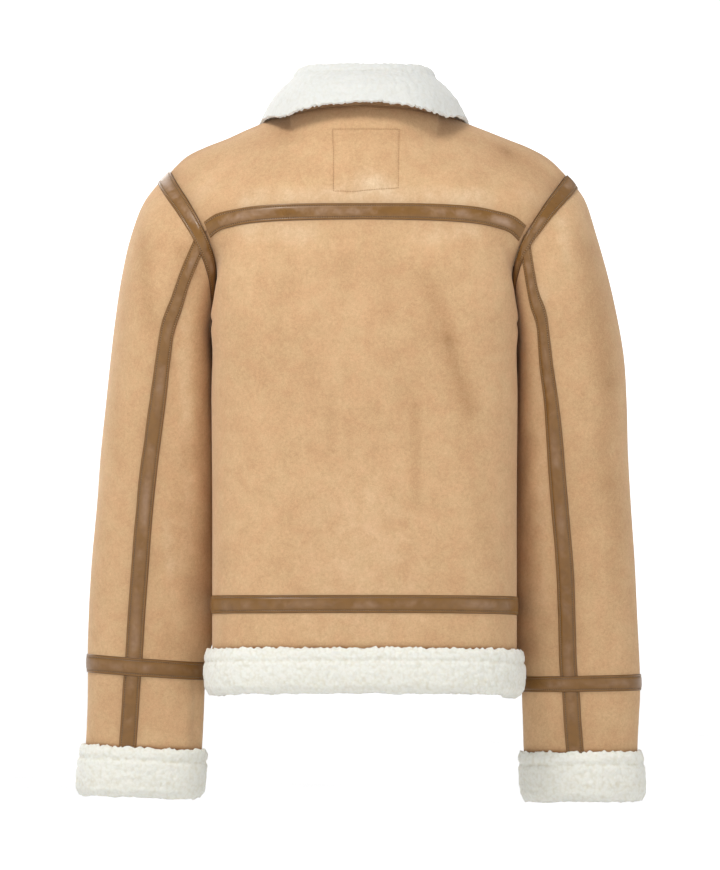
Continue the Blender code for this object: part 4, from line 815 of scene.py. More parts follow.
def join_armhole(back, front, sleeve):
    """Share the normals round the armhole, and part the sleeve from the torso squarely across the seam."""
    ring = sleeve[0][0].copy()
    for column in range(SLEEVE_COLUMNS):
        torso = []
        if column <= TIP_COLUMN:
            torso.append((back, ARMPIT_ROW + column))
        if column >= TIP_COLUMN:
            torso.append((front, ARMPIT_ROW + SLEEVE_COLUMNS - column))
        if column == 0:
            torso.append((front, ARMPIT_ROW))
        torso_normal = unit(sum(grid[1][row, -1] for grid, row in torso))
        normal = unit(sleeve[1][0, column] + torso_normal)
        tangent = unit(ring[(column + 1) % SLEEVE_COLUMNS] - ring[column - 1])
        across = unit(sleeve[0][1, column] - ring[column])
        for grid, row in torso:
            beside = grid[0][row - 1, -1] if column == 0 else grid[0][row, -2]
            across = across - unit(beside - ring[column]) / len(torso)
        across = across - normal * np.dot(across, normal)
        side_on = unit(tangent - normal * np.dot(tangent, normal))
        across = unit(across - side_on * np.dot(across, side_on))
        sleeve[1][0, column] = normal
        sleeve[0][0, column] += across * SEAM_GAP / 2
        for grid, row in torso:
            grid[1][row, -1] = normal
            grid[0][row, -1] -= across * SEAM_GAP / 2


def trim(points):
    """Draw the four edges of a grid in by half a seam gap."""
    points = points.copy()
    for lines in (points, points.swapaxes(0, 1)):
        lines[0] += unit(lines[1] - lines[0]) * SEAM_GAP / 2
        lines[-1] += unit(lines[-2] - lines[-1]) * SEAM_GAP / 2
    return points


def three_parts(surfaces, part):
    """Points and normals of a part of the left front, the back and the right front, for each of the two."""
    keys = (("front", "left"), ("back", "both"), ("front", "right"))
    return [[surfaces[key][kind][part] for key in keys] for kind in (0, 1)]


def hem_surface(surfaces):
    """Rows near the hem, all round from the left front edge over the back to the right front edge."""
    return [
        np.concatenate([left, back[:, -2:0:-1], right[:, ::-1]], axis=1)
        for left, back, right in three_parts(surfaces, slice(0, 2 + len(HEM_TAPE_LEVELS)))
    ]


def collar_stations(surfaces):
    """Points and normals of the neck seam from the left front edge over the back to the right front edge."""
    middle = slice(HALF_COLUMNS + NECK_COLUMNS, HALF_COLUMNS - NECK_COLUMNS - 1, -1)
    return [
        np.concatenate([left[:NECK_COLUMNS], back[middle], right[:NECK_COLUMNS][::-1]])
        for left, back, right in three_parts(surfaces, -1)
    ]


def collar_path(base, fold, edge):
    """Line through one collar section, from the neck seam over the fold to the edge of the fall."""
    out = edge - base
    out[2] = 0.0
    out = unit(out)
    up = np.array([0.0, 0.0, 1.0])
    rise = fold - out * COLLAR_BEND_HALF - up * COLLAR_BEND_HEIGHT
    fall = fold + out * COLLAR_BEND_HALF - up * COLLAR_BEND_HEIGHT
    fall_middle = (fall + edge) / 2 + unit(out + up) * COLLAR_BOW
    knots = np.array([base, (base + rise) / 2, rise, fold, fall, fall_middle, edge])
    return spline(np.arange(7.0), knots, COLLAR_PLACES)


def collar_grid(surfaces):
    """Middle layer of the collar, stations round the neck across points of a section, and seam normals."""
    seam, normals = collar_stations(surfaces)
    travelled = lengths_along(seam)
    shares = 2 * travelled / travelled[-1] - 1
    grid = []
    for point, normal, share in zip(seam, normals, shares):
        turn = np.array([-1.0 if share > 0 else 1.0, 1.0, 1.0])
        fold = spline(COLLAR_SHARES, COLLAR_FOLD, min(abs(share), 1.0)) * turn
        edge = spline(COLLAR_SHARES, COLLAR_EDGE, min(abs(share), 1.0)) * turn
        base = point - normal * COLLAR_SUEDE_WALL
        base = base + unit(fold - base) * COLLAR_SEAM_GAP
        grid.append(collar_path(base, fold, edge))
    return np.array(grid), normals


def zip_line(surfaces):
    """Points of the zip's middle line from bottom to top, on the fronts' outer face."""
    left = surfaces["front", "left"][0][:, 0]
    right = surfaces["front", "right"][0][:, 0]
    middle = (left + right) / 2
    middle[:, 0] = 0.0
    middle[-1] += unit(middle[-2] - middle[-1]) * ZIP_TOP_MARGIN
    return middle


def grid_slopes(line):
    """Unit directions that point into the garment, square to a line in the middle plane."""
    along = unit(np.gradient(line, axis=0))
    return np.stack([np.zeros(len(line)), along[:, 2], -along[:, 1]], axis=1)


def prepared(points, normals, closed=False):
    """A surface that can be read between its rows and columns, with the places of both as distances."""
    across = np.linalg.norm(np.roll(points, -1, axis=1) - points, axis=2).mean(axis=0)
    down = np.linalg.norm(np.diff(points, axis=0), axis=2).mean(axis=1)
    first = 0
    if closed:
        first = points.shape[1]
        points = np.concatenate([points] * 3, axis=1)
        normals = np.concatenate([normals] * 3, axis=1)
        across = np.tile(across, 3)
    return {
        "points": points,
        "normals": normals,
        "rows": np.concatenate([[0.0], np.cumsum(down)]),
        "columns": np.concatenate([[0.0], np.cumsum(across)[:-1]]),
        "first": first,
    }


def read_plain(surface, rows, columns):
    """Points and normals of a surface at places given as fractions of rows and columns."""
    columns = np.asarray(columns, float) + surface["first"]
    row_at = np.interp(rows, np.arange(len(surface["rows"])), surface["rows"])
    column_at = np.interp(columns, np.arange(len(surface["columns"])), surface["columns"])
    result = []
    for values in (surface["points"], surface["normals"]):
        lines = spline(surface["rows"], values, row_at)
        result.append(spline(surface["columns"], lines.transpose(1, 0, 2), column_at).transpose(1, 0, 2))
    return result[0], unit(result[1])


def read(surface, rows, columns):
    """Points and normals of a surface, with a torso's edges drawn onto the curve of the armhole."""
    rows = np.asarray(rows, float)
    columns = np.asarray(columns, float)
    points, normals = read_plain(surface, rows, columns)
    for edge, ring, places in surface.get("armholes", ()):
        high = rows >= ARMPIT_ROW
        if not high.any():
            continue
        steps = rows[high] - ARMPIT_ROW
        around = places[0] + places[1] * steps
        target = read_plain(ring, [0.0], around)[0][0]
        mine = read_plain(surface, rows[high], [edge])[0][:, 0]
        coarse_rows = np.arange(ARMPIT_ROW, len(surface["rows"]))
        coarse_around = places[0] + places[1] * (coarse_rows - ARMPIT_ROW)
        gaps = ring["points"][0, np.round(coarse_around).astype(int) + ring["first"]]
        gaps = gaps - surface["points"][ARMPIT_ROW:, edge]
        gap = np.stack([np.interp(rows[high], coarse_rows, gaps[:, axis]) for axis in range(3)], axis=1)
        weight = np.clip(1.0 - np.abs(columns - edge), 0.0, 1.0)
        points[high] += (target - gap - mine)[:, None, :] * weight[None, :, None]
    return points, normals


def places_between(knots, first, last, offset=0, extra=(), step=STEP):
    """Places from one row or column to another, about a step apart, with a few close to both ends."""
    result = [float(first)]
    for index in range(first, last):
        length = knots[index + 1 + offset] - knots[index + offset]
        pieces = max(1, round(length / step))
        result += [index + (piece + 1) / pieces for piece in range(pieces)]
    start_length = knots[first + 1 + offset] - knots[first + offset]
    end_length = knots[last + offset] - knots[last - 1 + offset]
    for distance in extra:
        result += [first + distance / start_length, last - distance / end_length]
    return np.array(sorted(set(result)))


def distance_from(points, x0, z0, x1, z1):
    """Distance of points, seen from behind, from a straight stretch."""
    start = np.array([x0, z0])
    course = np.array([x1, z1]) - start
    offset = points[..., [0, 2]] - start
    along = np.clip(offset @ course / (course @ course), 0.0, 1.0)
    return np.linalg.norm(offset - along[..., None] * course, axis=-1)


def creased(points, normals):
    """Points moved along their normals into the troughs and ridges of the crease table."""
    height = np.zeros(points.shape[:-1])
    for side, table in CREASES.items():
        facing = normals[..., 1] if side == "back" else -normals[..., 1]
        seen = smooth_step(facing * CREASE_FACING)
        for *ends, half_width, rise in table:
            height += rise * bell(distance_from(points, *ends), half_width) * seen
    return points + normals * height[..., None]


def noise_at(points, size, seed=0.0):
    """Smooth noise from -1 to 1 at each point."""
    flat = points.reshape(-1, 3) / size + seed
    values = [noise.noise(Vector(point)) for point in flat]
    return np.array(values).reshape(points.shape[:-1])


def curls_at(points, size, seed=0.0):
    """Rounded curls, 1 in the middle of each and 0 between them."""
    flat = points.reshape(-1, 3) / size + seed
    values = [noise.voronoi(Vector(point))[0][0] for point in flat]
    return 1.0 - np.clip(np.array(values).reshape(points.shape[:-1]) / CURL_RADIUS, 0.0, 1.0) ** 2


def pile_height(points):
    """How far the curls of the pile stand out at each point."""
    curls = CURL_HEIGHT * (curls_at(points, CURL_SIZE) - 0.5)
    return curls + FINE_CURL_HEIGHT * noise_at(points, FINE_CURL_SIZE)


def grid_faces(rows, columns, closed_columns=False, closed_rows=False, start=0):
    """Quads of a grid of points."""
    last_row = rows if closed_rows else rows - 1
    last_column = columns if closed_columns else columns - 1
    row = np.arange(last_row)[:, None]
    column = np.arange(last_column)[None, :]
    below = (row + 1) % rows
    beside = (column + 1) % columns
    faces = np.stack([
        row * columns + column, row * columns + beside, below * columns + beside, below * columns + column,
    ], axis=-1)
    return faces.reshape(-1, 4) + start


def make_object(name, vertices, faces, materials, material_index=None, attributes=None, sharp=None):
    """A shaded mesh object with its faces pointing out."""
    vertices = np.asarray(vertices, float)
    mesh = bpy.data.meshes.new(name)
    mesh.from_pydata(vertices.tolist(), [], [tuple(int(index) for index in face) for face in faces])
    mesh.update()
    for material in materials:
        mesh.materials.append(material)
    if material_index is not None:
        mesh.polygons.foreach_set("material_index", np.asarray(material_index, np.int32))
    for key, values in (attributes or {}).items():
        layer = mesh.attributes.new(key, "FLOAT", "POINT")
        layer.data.foreach_set("value", np.asarray(values, np.float32).ravel())
    mesh.calc_loop_triangles()
    corners = np.zeros(len(mesh.loop_triangles) * 3, np.int32)
    mesh.loop_triangles.foreach_get("vertices", corners)
    triangle = vertices[corners.reshape(-1, 3)]
    volume = np.einsum("ij,ij->i", triangle[:, 0], np.cross(triangle[:, 1], triangle[:, 2])).sum()
    if volume < 0:
        mesh.flip_normals()
    mesh.shade_smooth()
    if sharp:
        mesh.set_sharp_from_angle(angle=math.radians(sharp))
    item = bpy.data.objects.new(name, mesh)
    bpy.context.scene.collection.objects.link(item)
    return item


def piece(item, slot, replaced=None):
    """Let an object ride on the garment, in place of a solid if it replaces one. The slot is not used."""
    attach(item, "garment")
    if replaced:
        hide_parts(replaced)


def wall(name, outer, inner, materials, closed=False, attributes=None, sharp=CLOTH_SHARP):
    """A closed sheet between an outer and an inner grid. The inner face takes the second material."""
    rows, columns = outer.shape[:2]
    depth = rows * columns
    front = grid_faces(rows, columns, closed_columns=closed)
    back = grid_faces(rows, columns, closed_columns=closed, start=depth)[:, ::-1]
    rims = []
    count = columns if closed else columns - 1
    for column in range(count):
        beside = (column + 1) % columns
        top = (rows - 1) * columns
        rims.append((beside, column, depth + column, depth + beside))
        rims.append((top + column, top + beside, depth + top + beside, depth + top + column))
    if not closed:
        for row in range(rows - 1):
            low = row * columns
            high = low + columns
            rims.append((low, high, depth + high, depth + low))
            low += columns - 1
            high += columns - 1
            rims.append((high, low, depth + low, depth + high))
    faces = np.concatenate([front, back, np.array(rims)])
    index = np.zeros(len(faces), int)
    if len(materials) > 1:
        index[len(front):len(front) + len(back)] = 1
    vertices = np.concatenate([outer.reshape(-1, 3), inner.reshape(-1, 3)])
    doubled = {key: np.concatenate([np.ravel(values)] * 2) for key, values in (attributes or {}).items()}
    return make_object(name, vertices, faces, materials, index, doubled, sharp)


def swept(name, rings, material, closed, attributes=None):
    """A closed solid whose section follows a line of stations."""
    stations, around = rings.shape[:2]
    faces = grid_faces(stations, around, closed_columns=True, closed_rows=closed).tolist()
    if not closed:
        faces.append(list(range(around))[::-1])
        faces.append([(stations - 1) * around + place for place in range(around)])
    flat = {key: values.reshape(-1) for key, values in (attributes or {}).items()}
    return make_object(name, rings.reshape(-1, 3), faces, [material], None, flat, TAPE_SHARP)


def nap_and_shade_of(points, shades):
    """Smears of nap with painted shade and painted highlights at each point, from a table."""
    shade = np.zeros(points.shape[:-1])
    seen = smooth_step(points[..., 1] * NAP_AND_SHADE_FACING)
    for *ends, reach, strength in shades:
        shade += strength * bell(distance_from(points, *ends), reach) * seen
    return shade


def near_edge(shape, distances):
    """How close each point of a grid is to the grid's edges, 1 at the edge, from distances to each side."""
    result = np.zeros(shape)
    for values in distances:
        result = np.maximum(result, np.exp(-values / SEAM_SHADE_REACH))
    return result


def edge_distances(points):
    """Distance of each point of a grid from its first row, last row, first column and last column."""
    down = np.concatenate([
        np.zeros((1, points.shape[1])), np.cumsum(np.linalg.norm(np.diff(points, axis=0), axis=2), axis=0),
    ])
    across = np.concatenate([
        np.zeros((points.shape[0], 1)), np.cumsum(np.linalg.norm(np.diff(points, axis=1), axis=2), axis=1),
    ], axis=1)
    return down, down[-1] - down, across, across[:, -1:] - across


def patch_groove(points):
    """Depth of the groove round the stitched patch on the yoke, at each point."""
    nearest = np.full(points.shape[:-1], np.inf)
    for (x0, z0), (x1, z1) in zip(PATCH_CORNERS, PATCH_CORNERS[1:] + PATCH_CORNERS[:1]):
        nearest = np.minimum(nearest, distance_from(points, x0, z0, x1, z1))
    return PATCH_GROOVE * bell(nearest, PATCH_GROOVE_WIDTH) * (points[..., 1] > BEHIND_Y)


def cloth(name, surface, rows, columns, materials, dips=(), step=STEP, fur_row=None, shades=BODY_NAP_AND_SHADE):
    """A panel of bonded cloth over a stretch of a surface, with painted shade beside its edges and painted
    shadow where it meets a sherpa band.
    """
    row_places = places_between(surface["rows"], *rows, step=step)
    column_places = places_between(surface["columns"], *columns, surface["first"], SEAM_PLACES, step)
    points, normals = read(surface, row_places, column_places)
    points = creased(points, normals)
    points = points - normals * patch_groove(points)[..., None]
    below, above, before, beyond = edge_distances(points)
    sides = {"first_row": below, "last_row": above, "first_column": before, "last_column": beyond}
    for side in dips:
        points = points - normals * (SEAM_DIP * bell(sides[side], SEAM_DIP_WIDTH))[..., None]
    outer = trim(points)
    # Painted shade beside the panel's edges, and painted shadow at a sherpa band's top edge
    edge = near_edge(points.shape[:2], list(sides.values()))
    if fur_row is not None:
        at_fur = np.array([np.interp(fur_row, row_places, line) for line in below.T])
        edge = np.maximum(edge, FUR_SHADE * bell(below - at_fur, FUR_SHADE_REACH))
    # Smears of nap with painted shade and painted highlights
    attributes = {"nap_and_shade": nap_and_shade_of(points, shades), "edge": edge}
    piece(wall(f"{name}_cloth", outer, outer - normals * WALL, materials, False, attributes), "suede", name)


def tape_grid(surface, middle, along, crosswise_rows, profile):
    """Points of a tape's face. Its middle runs on one coarse line, and the profile's places lie across it."""
    across = np.array([middle + place for place, _ in profile])
    if crosswise_rows:
        points, normals = read(surface, across, along)
    else:
        points, normals = read(surface, along, across)
        points = points.transpose(1, 0, 2)
        normals = normals.transpose(1, 0, 2)
    return creased(points, normals), normals


def tape(name, surface, middle, along, crosswise_rows, material, closed=False, lift=None):
    """Lay a leather tape along a surface. Returns the lines of its stitches on both sides, with normals."""
    points, normals = tape_grid(surface, middle, along, crosswise_rows, TAPE_PROFILE)
    heights = np.array([height for _, height in TAPE_PROFILE])[:, None]
    raised = np.zeros(len(along)) if lift is None else lift
    top = points + normals * (heights + raised[None, :])[..., None]
    bottom = points + normals * (TAPE_BOTTOM + raised[None, :] * BOTTOM_LIFT)[..., None]
    across = np.repeat(np.array([abs(place) for place, _ in TAPE_PROFILE])[:, None], len(along), axis=1)
    item = wall(f"{name}_leather", top, bottom, [material], closed, {"across": across}, TAPE_SHARP)
    piece(item, "leather", name)
    lines = []
    for place in (-STITCH_PLACE, STITCH_PLACE):
        row, normal = tape_grid(surface, middle, along, crosswise_rows, ((place, 0.0),))
        line = row[0] + normal[0] * (STITCH_HEIGHT + raised)[:, None]
        lines.append((looped(line, closed), looped(normal[0], closed)))
    return lines


def stitch_parts(line, normals):
    """Points and faces of a row of stitches along a line."""
    travelled = lengths_along(line)
    count = int(travelled[-1] / STITCH_PITCH)
    if count < 1:
        return np.zeros((0, 3)), np.zeros((0, 3), int)
    middles = (np.arange(count) + 0.5) * travelled[-1] / count
    centre = at_distances(line, middles)
    before = at_distances(line, middles - STITCH_LENGTH / 2)
    after = at_distances(line, middles + STITCH_LENGTH / 2)
    up = unit(at_distances_of(normals, travelled, middles))
    tangent = unit(after - before)
    side = unit(np.cross(tangent, up))
    up = np.cross(side, tangent)
    angles = 2 * math.pi * np.arange(STITCH_SIDES) / STITCH_SIDES
    points = [before[:, None] - up[:, None] * STITCH_RADIUS]
    for share in (-STITCH_SHOULDER, STITCH_SHOULDER):
        middle = centre + tangent * (share * STITCH_LENGTH)
        for angle in angles:
            offset = side * (math.cos(angle) * STITCH_RADIUS) + up * (math.sin(angle) * STITCH_RADIUS)
            points.append((middle + offset)[:, None])
    points.append(after[:, None] - up[:, None] * STITCH_RADIUS)
    points = np.concatenate(points, axis=1)
    faces = []
    for index in range(STITCH_SIDES):
        beside = (index + 1) % STITCH_SIDES
        first = 1 + index
        second = 1 + beside
        faces.append((0, second, first))
        faces.append((first, second, second + STITCH_SIDES))
        faces.append((first, second + STITCH_SIDES, first + STITCH_SIDES))
        faces.append((first + STITCH_SIDES, second + STITCH_SIDES, 2 * STITCH_SIDES + 1))
    faces = np.array(faces)
    step = points.shape[1]
    all_faces = (faces[None] + (np.arange(count) * step)[:, None, None]).reshape(-1, 3)
    return points.reshape(-1, 3), all_faces


def stitches(name, lines, material):
    """All the stitches of some lines as one object."""
    points = []
    faces = []
    total = 0
    for line, normals in lines:
        some_points, some_faces = stitch_parts(line, normals)
        points.append(some_points)
        faces.append(some_faces + total)
        total += len(some_points)
    piece(make_object(name, np.concatenate(points), np.concatenate(faces), [material]), "leather")


def band(name, top, end, normals, section, closed, material):
    """Sherpa band folded round the end of a wall, with curls all over what shows."""
    travelled = lengths_along(looped(top, closed))
    at = np.linspace(0.0, travelled[-1], int(travelled[-1] / PILE_STEP) + 1)
    if closed:
        at = at[:-1]
    fine_top = spline(travelled, looped(top, closed), at)
    fine_down = unit(spline(travelled, looped(unit(end - top), closed), at))
    fine_normals = unit(spline(travelled, looped(normals, closed), at))
    depth = float(np.linalg.norm(end - top, axis=1).mean())
    floor = depth + BAND_CLEARANCE
    outline = looped(np.array([*section, (-(WALL + BAND_CLEARANCE), floor), (BAND_CLEARANCE, floor)]))
    fine = evenly(outline, int(lengths_along(outline)[-1] / PILE_STEP))[:-1]
    rings = fine_top[:, None] + fine_down[:, None] * fine[:, 1:] + fine_normals[:, None] * fine[:, :1]
    outward = np.gradient(np.concatenate([fine[-1:], fine, fine[:1]]), axis=0)[1:-1]
    outward = unit(np.stack([outward[:, 1], -outward[:, 0]], axis=1))
    if ((fine - fine.mean(axis=0)) * outward).sum() < 0:
        outward = -outward
    hidden = (fine[:, 0] > -(WALL + COVERED_MARGIN)) & (fine[:, 0] < COVERED_MARGIN)
    hidden &= fine[:, 1] < depth + COVERED_DEPTH
    show = np.where(hidden, 0.0, 1.0)
    show = np.convolve(np.concatenate([show[-2:], show, show[:2]]), np.ones(3) / 3, "same")[2:-2]
    direction = fine_normals[:, None] * outward[:, :1] + fine_down[:, None] * outward[:, 1:]
    outside = fine[:, 0] > OUTSIDE
    pressed = BAND_PRESS * bell(fine[:, 1] - BAND_SEAM_BELOW, BAND_PRESS_WIDTH) * outside
    rings = rings + direction * ((pile_height(rings) - pressed[None, :]) * show[None, :])[..., None]
    upper = bell(fine[:, 1], EDGE_TUFT_REACH) * outside
    lower = smooth_step((fine[:, 1] - depth + EDGE_WAVE_REACH / 2) / EDGE_WAVE_REACH) * (fine[:, 0] > -WALL)
    tufts = EDGE_TUFT_HEIGHT * noise_at(rings, EDGE_TUFT_SIZE, 3.0) * upper[None, :]
    waves = EDGE_WAVE_HEIGHT * noise_at(rings, EDGE_WAVE_SIZE, 5.0) * lower[None, :]
    rings = rings + fine_down[:, None] * (tufts + waves)[..., None]
    # Painted shade in the dimples along the seam line and near the lower edge
    dimples = smooth_step(noise_at(rings, DIMPLE_SIZE, 9.0) * DIMPLE_CONTRAST + DIMPLE_SHARE)
    seam_line = bell(fine[:, 1] - BAND_SEAM_BELOW, SEAM_DIMPLE_WIDTH) * outside
    low_line = bell(fine[:, 1] - depth + LOW_DIMPLE_ABOVE, LOW_DIMPLE_WIDTH) * (fine[:, 0] > 0.0)
    dimple_shade = dimples * (SEAM_DIMPLES * seam_line + LOW_DIMPLES * low_line)[None, :]
    piece(swept(f"{name}_pile", rings, material, closed, {"dimple_shade": dimple_shade}), "sherpa", name)


def collar(surfaces, suede, sherpa):
    """Suede under-collar and the sherpa over it, with its curls."""
    grid, seam_normals = collar_grid(surfaces)
    normals = grid_normals(grid)
    if normals[len(grid) // 2, 0, 1] < 0:
        normals = -normals
    normals[:, 0] = seam_normals
    suede_grid = prepared(grid[:, :-1], normals[:, :-1])
    last_station = len(grid) - 1
    last_place = len(COLLAR_PLACES) - 2
    stations = np.linspace(0, last_station, COLLAR_FINENESS * last_station + 1)
    places = np.linspace(0, last_place, COLLAR_FINENESS * last_place + 1)
    outer, outer_normals = read_plain(suede_grid, stations, places)
    shape = outer.shape[:2]
    # Painted shade beside the collar suede's edges; it has no smears
    attributes = {"nap_and_shade": np.zeros(shape), "edge": near_edge(shape, list(edge_distances(outer)))}
    raised = outer + outer_normals * COLLAR_SUEDE_WALL
    piece(wall("collar_suede_cloth", raised, outer, [suede], False, attributes), "suede", "collar_suede")

    layer = grid.copy()
    layer[:, -1] = grid[:, -1] + unit(grid[:, -1] - grid[:, -2]) * (COLLAR_EDGE_REACH + FRINGE_REACH)
    layer = prepared(layer, normals)
    along = np.linspace(0, len(grid) - 1, int(layer["rows"][-1] / PILE_STEP))
    width = int(layer["columns"][-1] / PILE_STEP)
    across = np.linspace(0, len(COLLAR_PLACES) - 1, width)
    points, directions = read_plain(layer, along, across)
    pile = np.interp(across, np.arange(len(COLLAR_PILE)), COLLAR_PILE)
    below, above, _, beyond = edge_distances(points)
    ends = np.minimum(below, above)
    rounding = np.sqrt(np.clip(1.0 - (1.0 - np.clip(ends / COLLAR_END_ROUND, 0.0, 1.0)) ** 2, 0.0, 1.0))
    depth = pile[None, :] * (COLLAR_END_DEPTH + (1.0 - COLLAR_END_DEPTH) * rounding)
    ragged = np.exp(-beyond / FRINGE_WIDTH) * FRINGE_HEIGHT * noise_at(points, FRINGE_SIZE, 7.0)
    points = points + unit(points[:, -1] - points[:, -3])[:, None, :] * ragged[..., None]
    face = points - directions * depth[..., None]
    face = face - directions * pile_height(face)[..., None]
    under = points - directions * COLLAR_LAYER_GAP
    piece(wall("collar_fur_pile", under, face, [sherpa], False, None, TAPE_SHARP), "sherpa", "collar_fur")


def zip_teeth(surfaces, metal):
    """Two rows of teeth that mesh down the front, in place of the solid chain."""
    line = zip_line(surfaces)
    travelled = lengths_along(line)
    count = int((travelled[-1] - 2 * TOOTH_START) / TOOTH_PITCH)
    middles = TOOTH_START + TOOTH_PITCH * np.arange(count)
    centre = at_distances(line, middles)
    inward = at_distances_of(grid_slopes(line), travelled, middles)
    along = unit(at_distances(line, middles + 0.001) - at_distances(line, middles - 0.001))
    ring = (0, 1, 3, 2)
    points = []
    faces = []
    for index in range(count):
        turn = 1.0 if index % 2 else -1.0
        first = len(points)
        for x, half in TOOTH_PROFILE:
            place = centre[index] + np.array([turn * -x + turn * TOOTH_OFFSET, 0.0, 0.0])
            for depth in TOOTH_DEPTHS:
                for rise in (-half, half):
                    points.append(place + inward[index] * depth + along[index] * (rise * TOOTH_RISE))
        last = len(points) - 4
        for low in range(first, last, 4):
            faces += [(low + a, low + b, low + 4 + b, low + 4 + a) for a, b in zip(ring, ring[1:] + ring[:1])]
        for start, order in ((first, (0, 2, 3, 1)), (last, ring)):
            faces.append([start + place for place in order])
    piece(make_object("zip_teeth", points, faces, [metal]), "brass", "zip_chain")


def new_material(name, roughness):
    """A Principled material of a given roughness, with its node tree and its shader."""
    material = bpy.data.materials.new(name)
    material.use_nodes = True
    tree = material.node_tree
    shader = tree.nodes["Principled BSDF"]
    shader.inputs["Roughness"].default_value = roughness
    return material, tree, shader


def add_node(tree, kind, inputs=(), **settings):
    """Add a node, set it up and link or set its inputs."""
    node = tree.nodes.new(kind)
    for key, value in settings.items():
        setattr(node, key, value)
    for key, value in inputs:
        if hasattr(value, "links"):
            tree.links.new(value, node.inputs[key])
        else:
            node.inputs[key].default_value = value
    return node


def object_place(tree):
    """Place of the shaded point in object space."""
    return add_node(tree, "ShaderNodeTexCoord").outputs["Object"]


def attribute(tree, name):
    """Value of a mesh attribute at the shaded point."""
    return add_node(tree, "ShaderNodeAttribute", attribute_name=name).outputs["Fac"]


def noise_node(tree, vector, scale, detail=3.0, roughness=0.55, distortion=0.0):
    """Noise texture in object space. Returns its value."""
    inputs = (("Vector", vector), ("Scale", scale), ("Detail", detail), ("Roughness", roughness),
              ("Distortion", distortion))
    return add_node(tree, "ShaderNodeTexNoise", inputs).outputs["Fac"]


def between(tree, value, low, high, to_low=0.0, to_high=1.0):
    """Map a value's range onto another, clamped."""
    names = ("Value", "From Min", "From Max", "To Min", "To Max")
    inputs = tuple(zip(names, (value, low, high, to_low, to_high)))
    return add_node(tree, "ShaderNodeMapRange", inputs).outputs["Result"]


def math_node(tree, operation, first, second):
    """Arithmetic of two values."""
    return add_node(tree, "ShaderNodeMath", ((0, first), (1, second)), operation=operation).outputs[0]


def mix_colour(tree, factor, first, second):
    """Mix of two colours."""
    ends = [value if hasattr(value, "links") else (*value, 1.0) for value in (first, second)]
    inputs = ((0, factor), (6, ends[0]), (7, ends[1]))
    return add_node(tree, "ShaderNodeMix", inputs, data_type="RGBA").outputs[2]


def add_bump(tree, shader, height, strength, distance):
    """Bump from a height."""
    inputs = (("Strength", strength), ("Distance", distance), ("Height", height))
    node = add_node(tree, "ShaderNodeBump", inputs)
    tree.links.new(node.outputs["Normal"], shader.inputs["Normal"])


def total_of(tree, *parts):
    """Sum of values, each given as a value and its weight."""
    result = 0.0
    for value, weight in parts:
        result = math_node(tree, "ADD", result, math_node(tree, "MULTIPLY", value, weight))
    return result


def suede_material(name):
    """Faux suede: mottled nap with a speckled grain; painted shade and painted highlights in its smears,
    painted shade beside its seams and at its sherpa bands, and painted shadow in the gap between sleeve and
    torso.
    """
    material, tree, shader = new_material(name, 0.92)
    place = object_place(tree)
    cloudy = noise_node(tree, place, 11.0, 4.0, 0.6, 0.8)
    patchy = noise_node(tree, place, 46.0, 4.0, 0.62, 0.5)
    tint = noise_node(tree, place, 55.0, 3.0, 0.6, 0.4)
    flecks = noise_node(tree, place, 330.0, 3.0, 0.62)
    grain = noise_node(tree, place, 900.0, 3.0, 0.75)
    nap_and_shade = attribute(tree, "nap_and_shade")
    edge = attribute(tree, "edge")
    # Smears of nap with painted shade and painted highlights, broken up by the patches
    nap_and_shade_smears = math_node(tree, "MULTIPLY", nap_and_shade, between(tree, patchy, 0.30, 0.70, 0.55, 1.45))
    tone = total_of(
        tree,
        (between(tree, cloudy, 0.30, 0.70), 0.16),
        (between(tree, patchy, 0.30, 0.70), 0.16),
        (between(tree, flecks, 0.30, 0.70), 0.20),
        (between(tree, grain, 0.32, 0.68), 0.30),
        (nap_and_shade_smears, 0.30),
    )
    tone = between(tree, tone, -0.30, 0.76)
    light = mix_colour(tree, between(tree, tint, 0.35, 0.65), SUEDE_GOLD, SUEDE_ROSE)
    # Painted highlight: paler suede where the smears are light
    light = mix_colour(tree, between(tree, nap_and_shade_smears, 0.10, 0.70), light, SUEDE_PALE)
    tan = mix_colour(tree, tone, SUEDE_DARK, light)
    # Painted shade beside the seams and at the sherpa bands, and painted shadow in the gap between sleeve and
    # torso from the deepest smears
    painted_shade = math_node(tree, "MULTIPLY", edge, between(tree, patchy, 0.25, 0.65, 0.20, 0.62))
    painted_shade = math_node(tree, "MAXIMUM", painted_shade, between(tree, nap_and_shade, -0.90, -2.40, 0.0, 0.9))
    colour = mix_colour(tree, painted_shade, tan, SUEDE_PAINTED_SHADE)
    tree.links.new(colour, shader.inputs["Base Color"])
    shader.inputs["Sheen Weight"].default_value = 0.26
    shader.inputs["Sheen Roughness"].default_value = 0.5
    shader.inputs["Sheen Tint"].default_value = (1.0, 0.86, 0.70, 1.0)
    shader.inputs["Specular IOR Level"].default_value = 0.12
    fine = noise_node(tree, place, 1500.0, 2.0, 0.6)
    add_bump(tree, shader, total_of(tree, (fine, 0.4), (grain, 0.6), (flecks, 0.5)), 0.7, 0.0006)
    return material


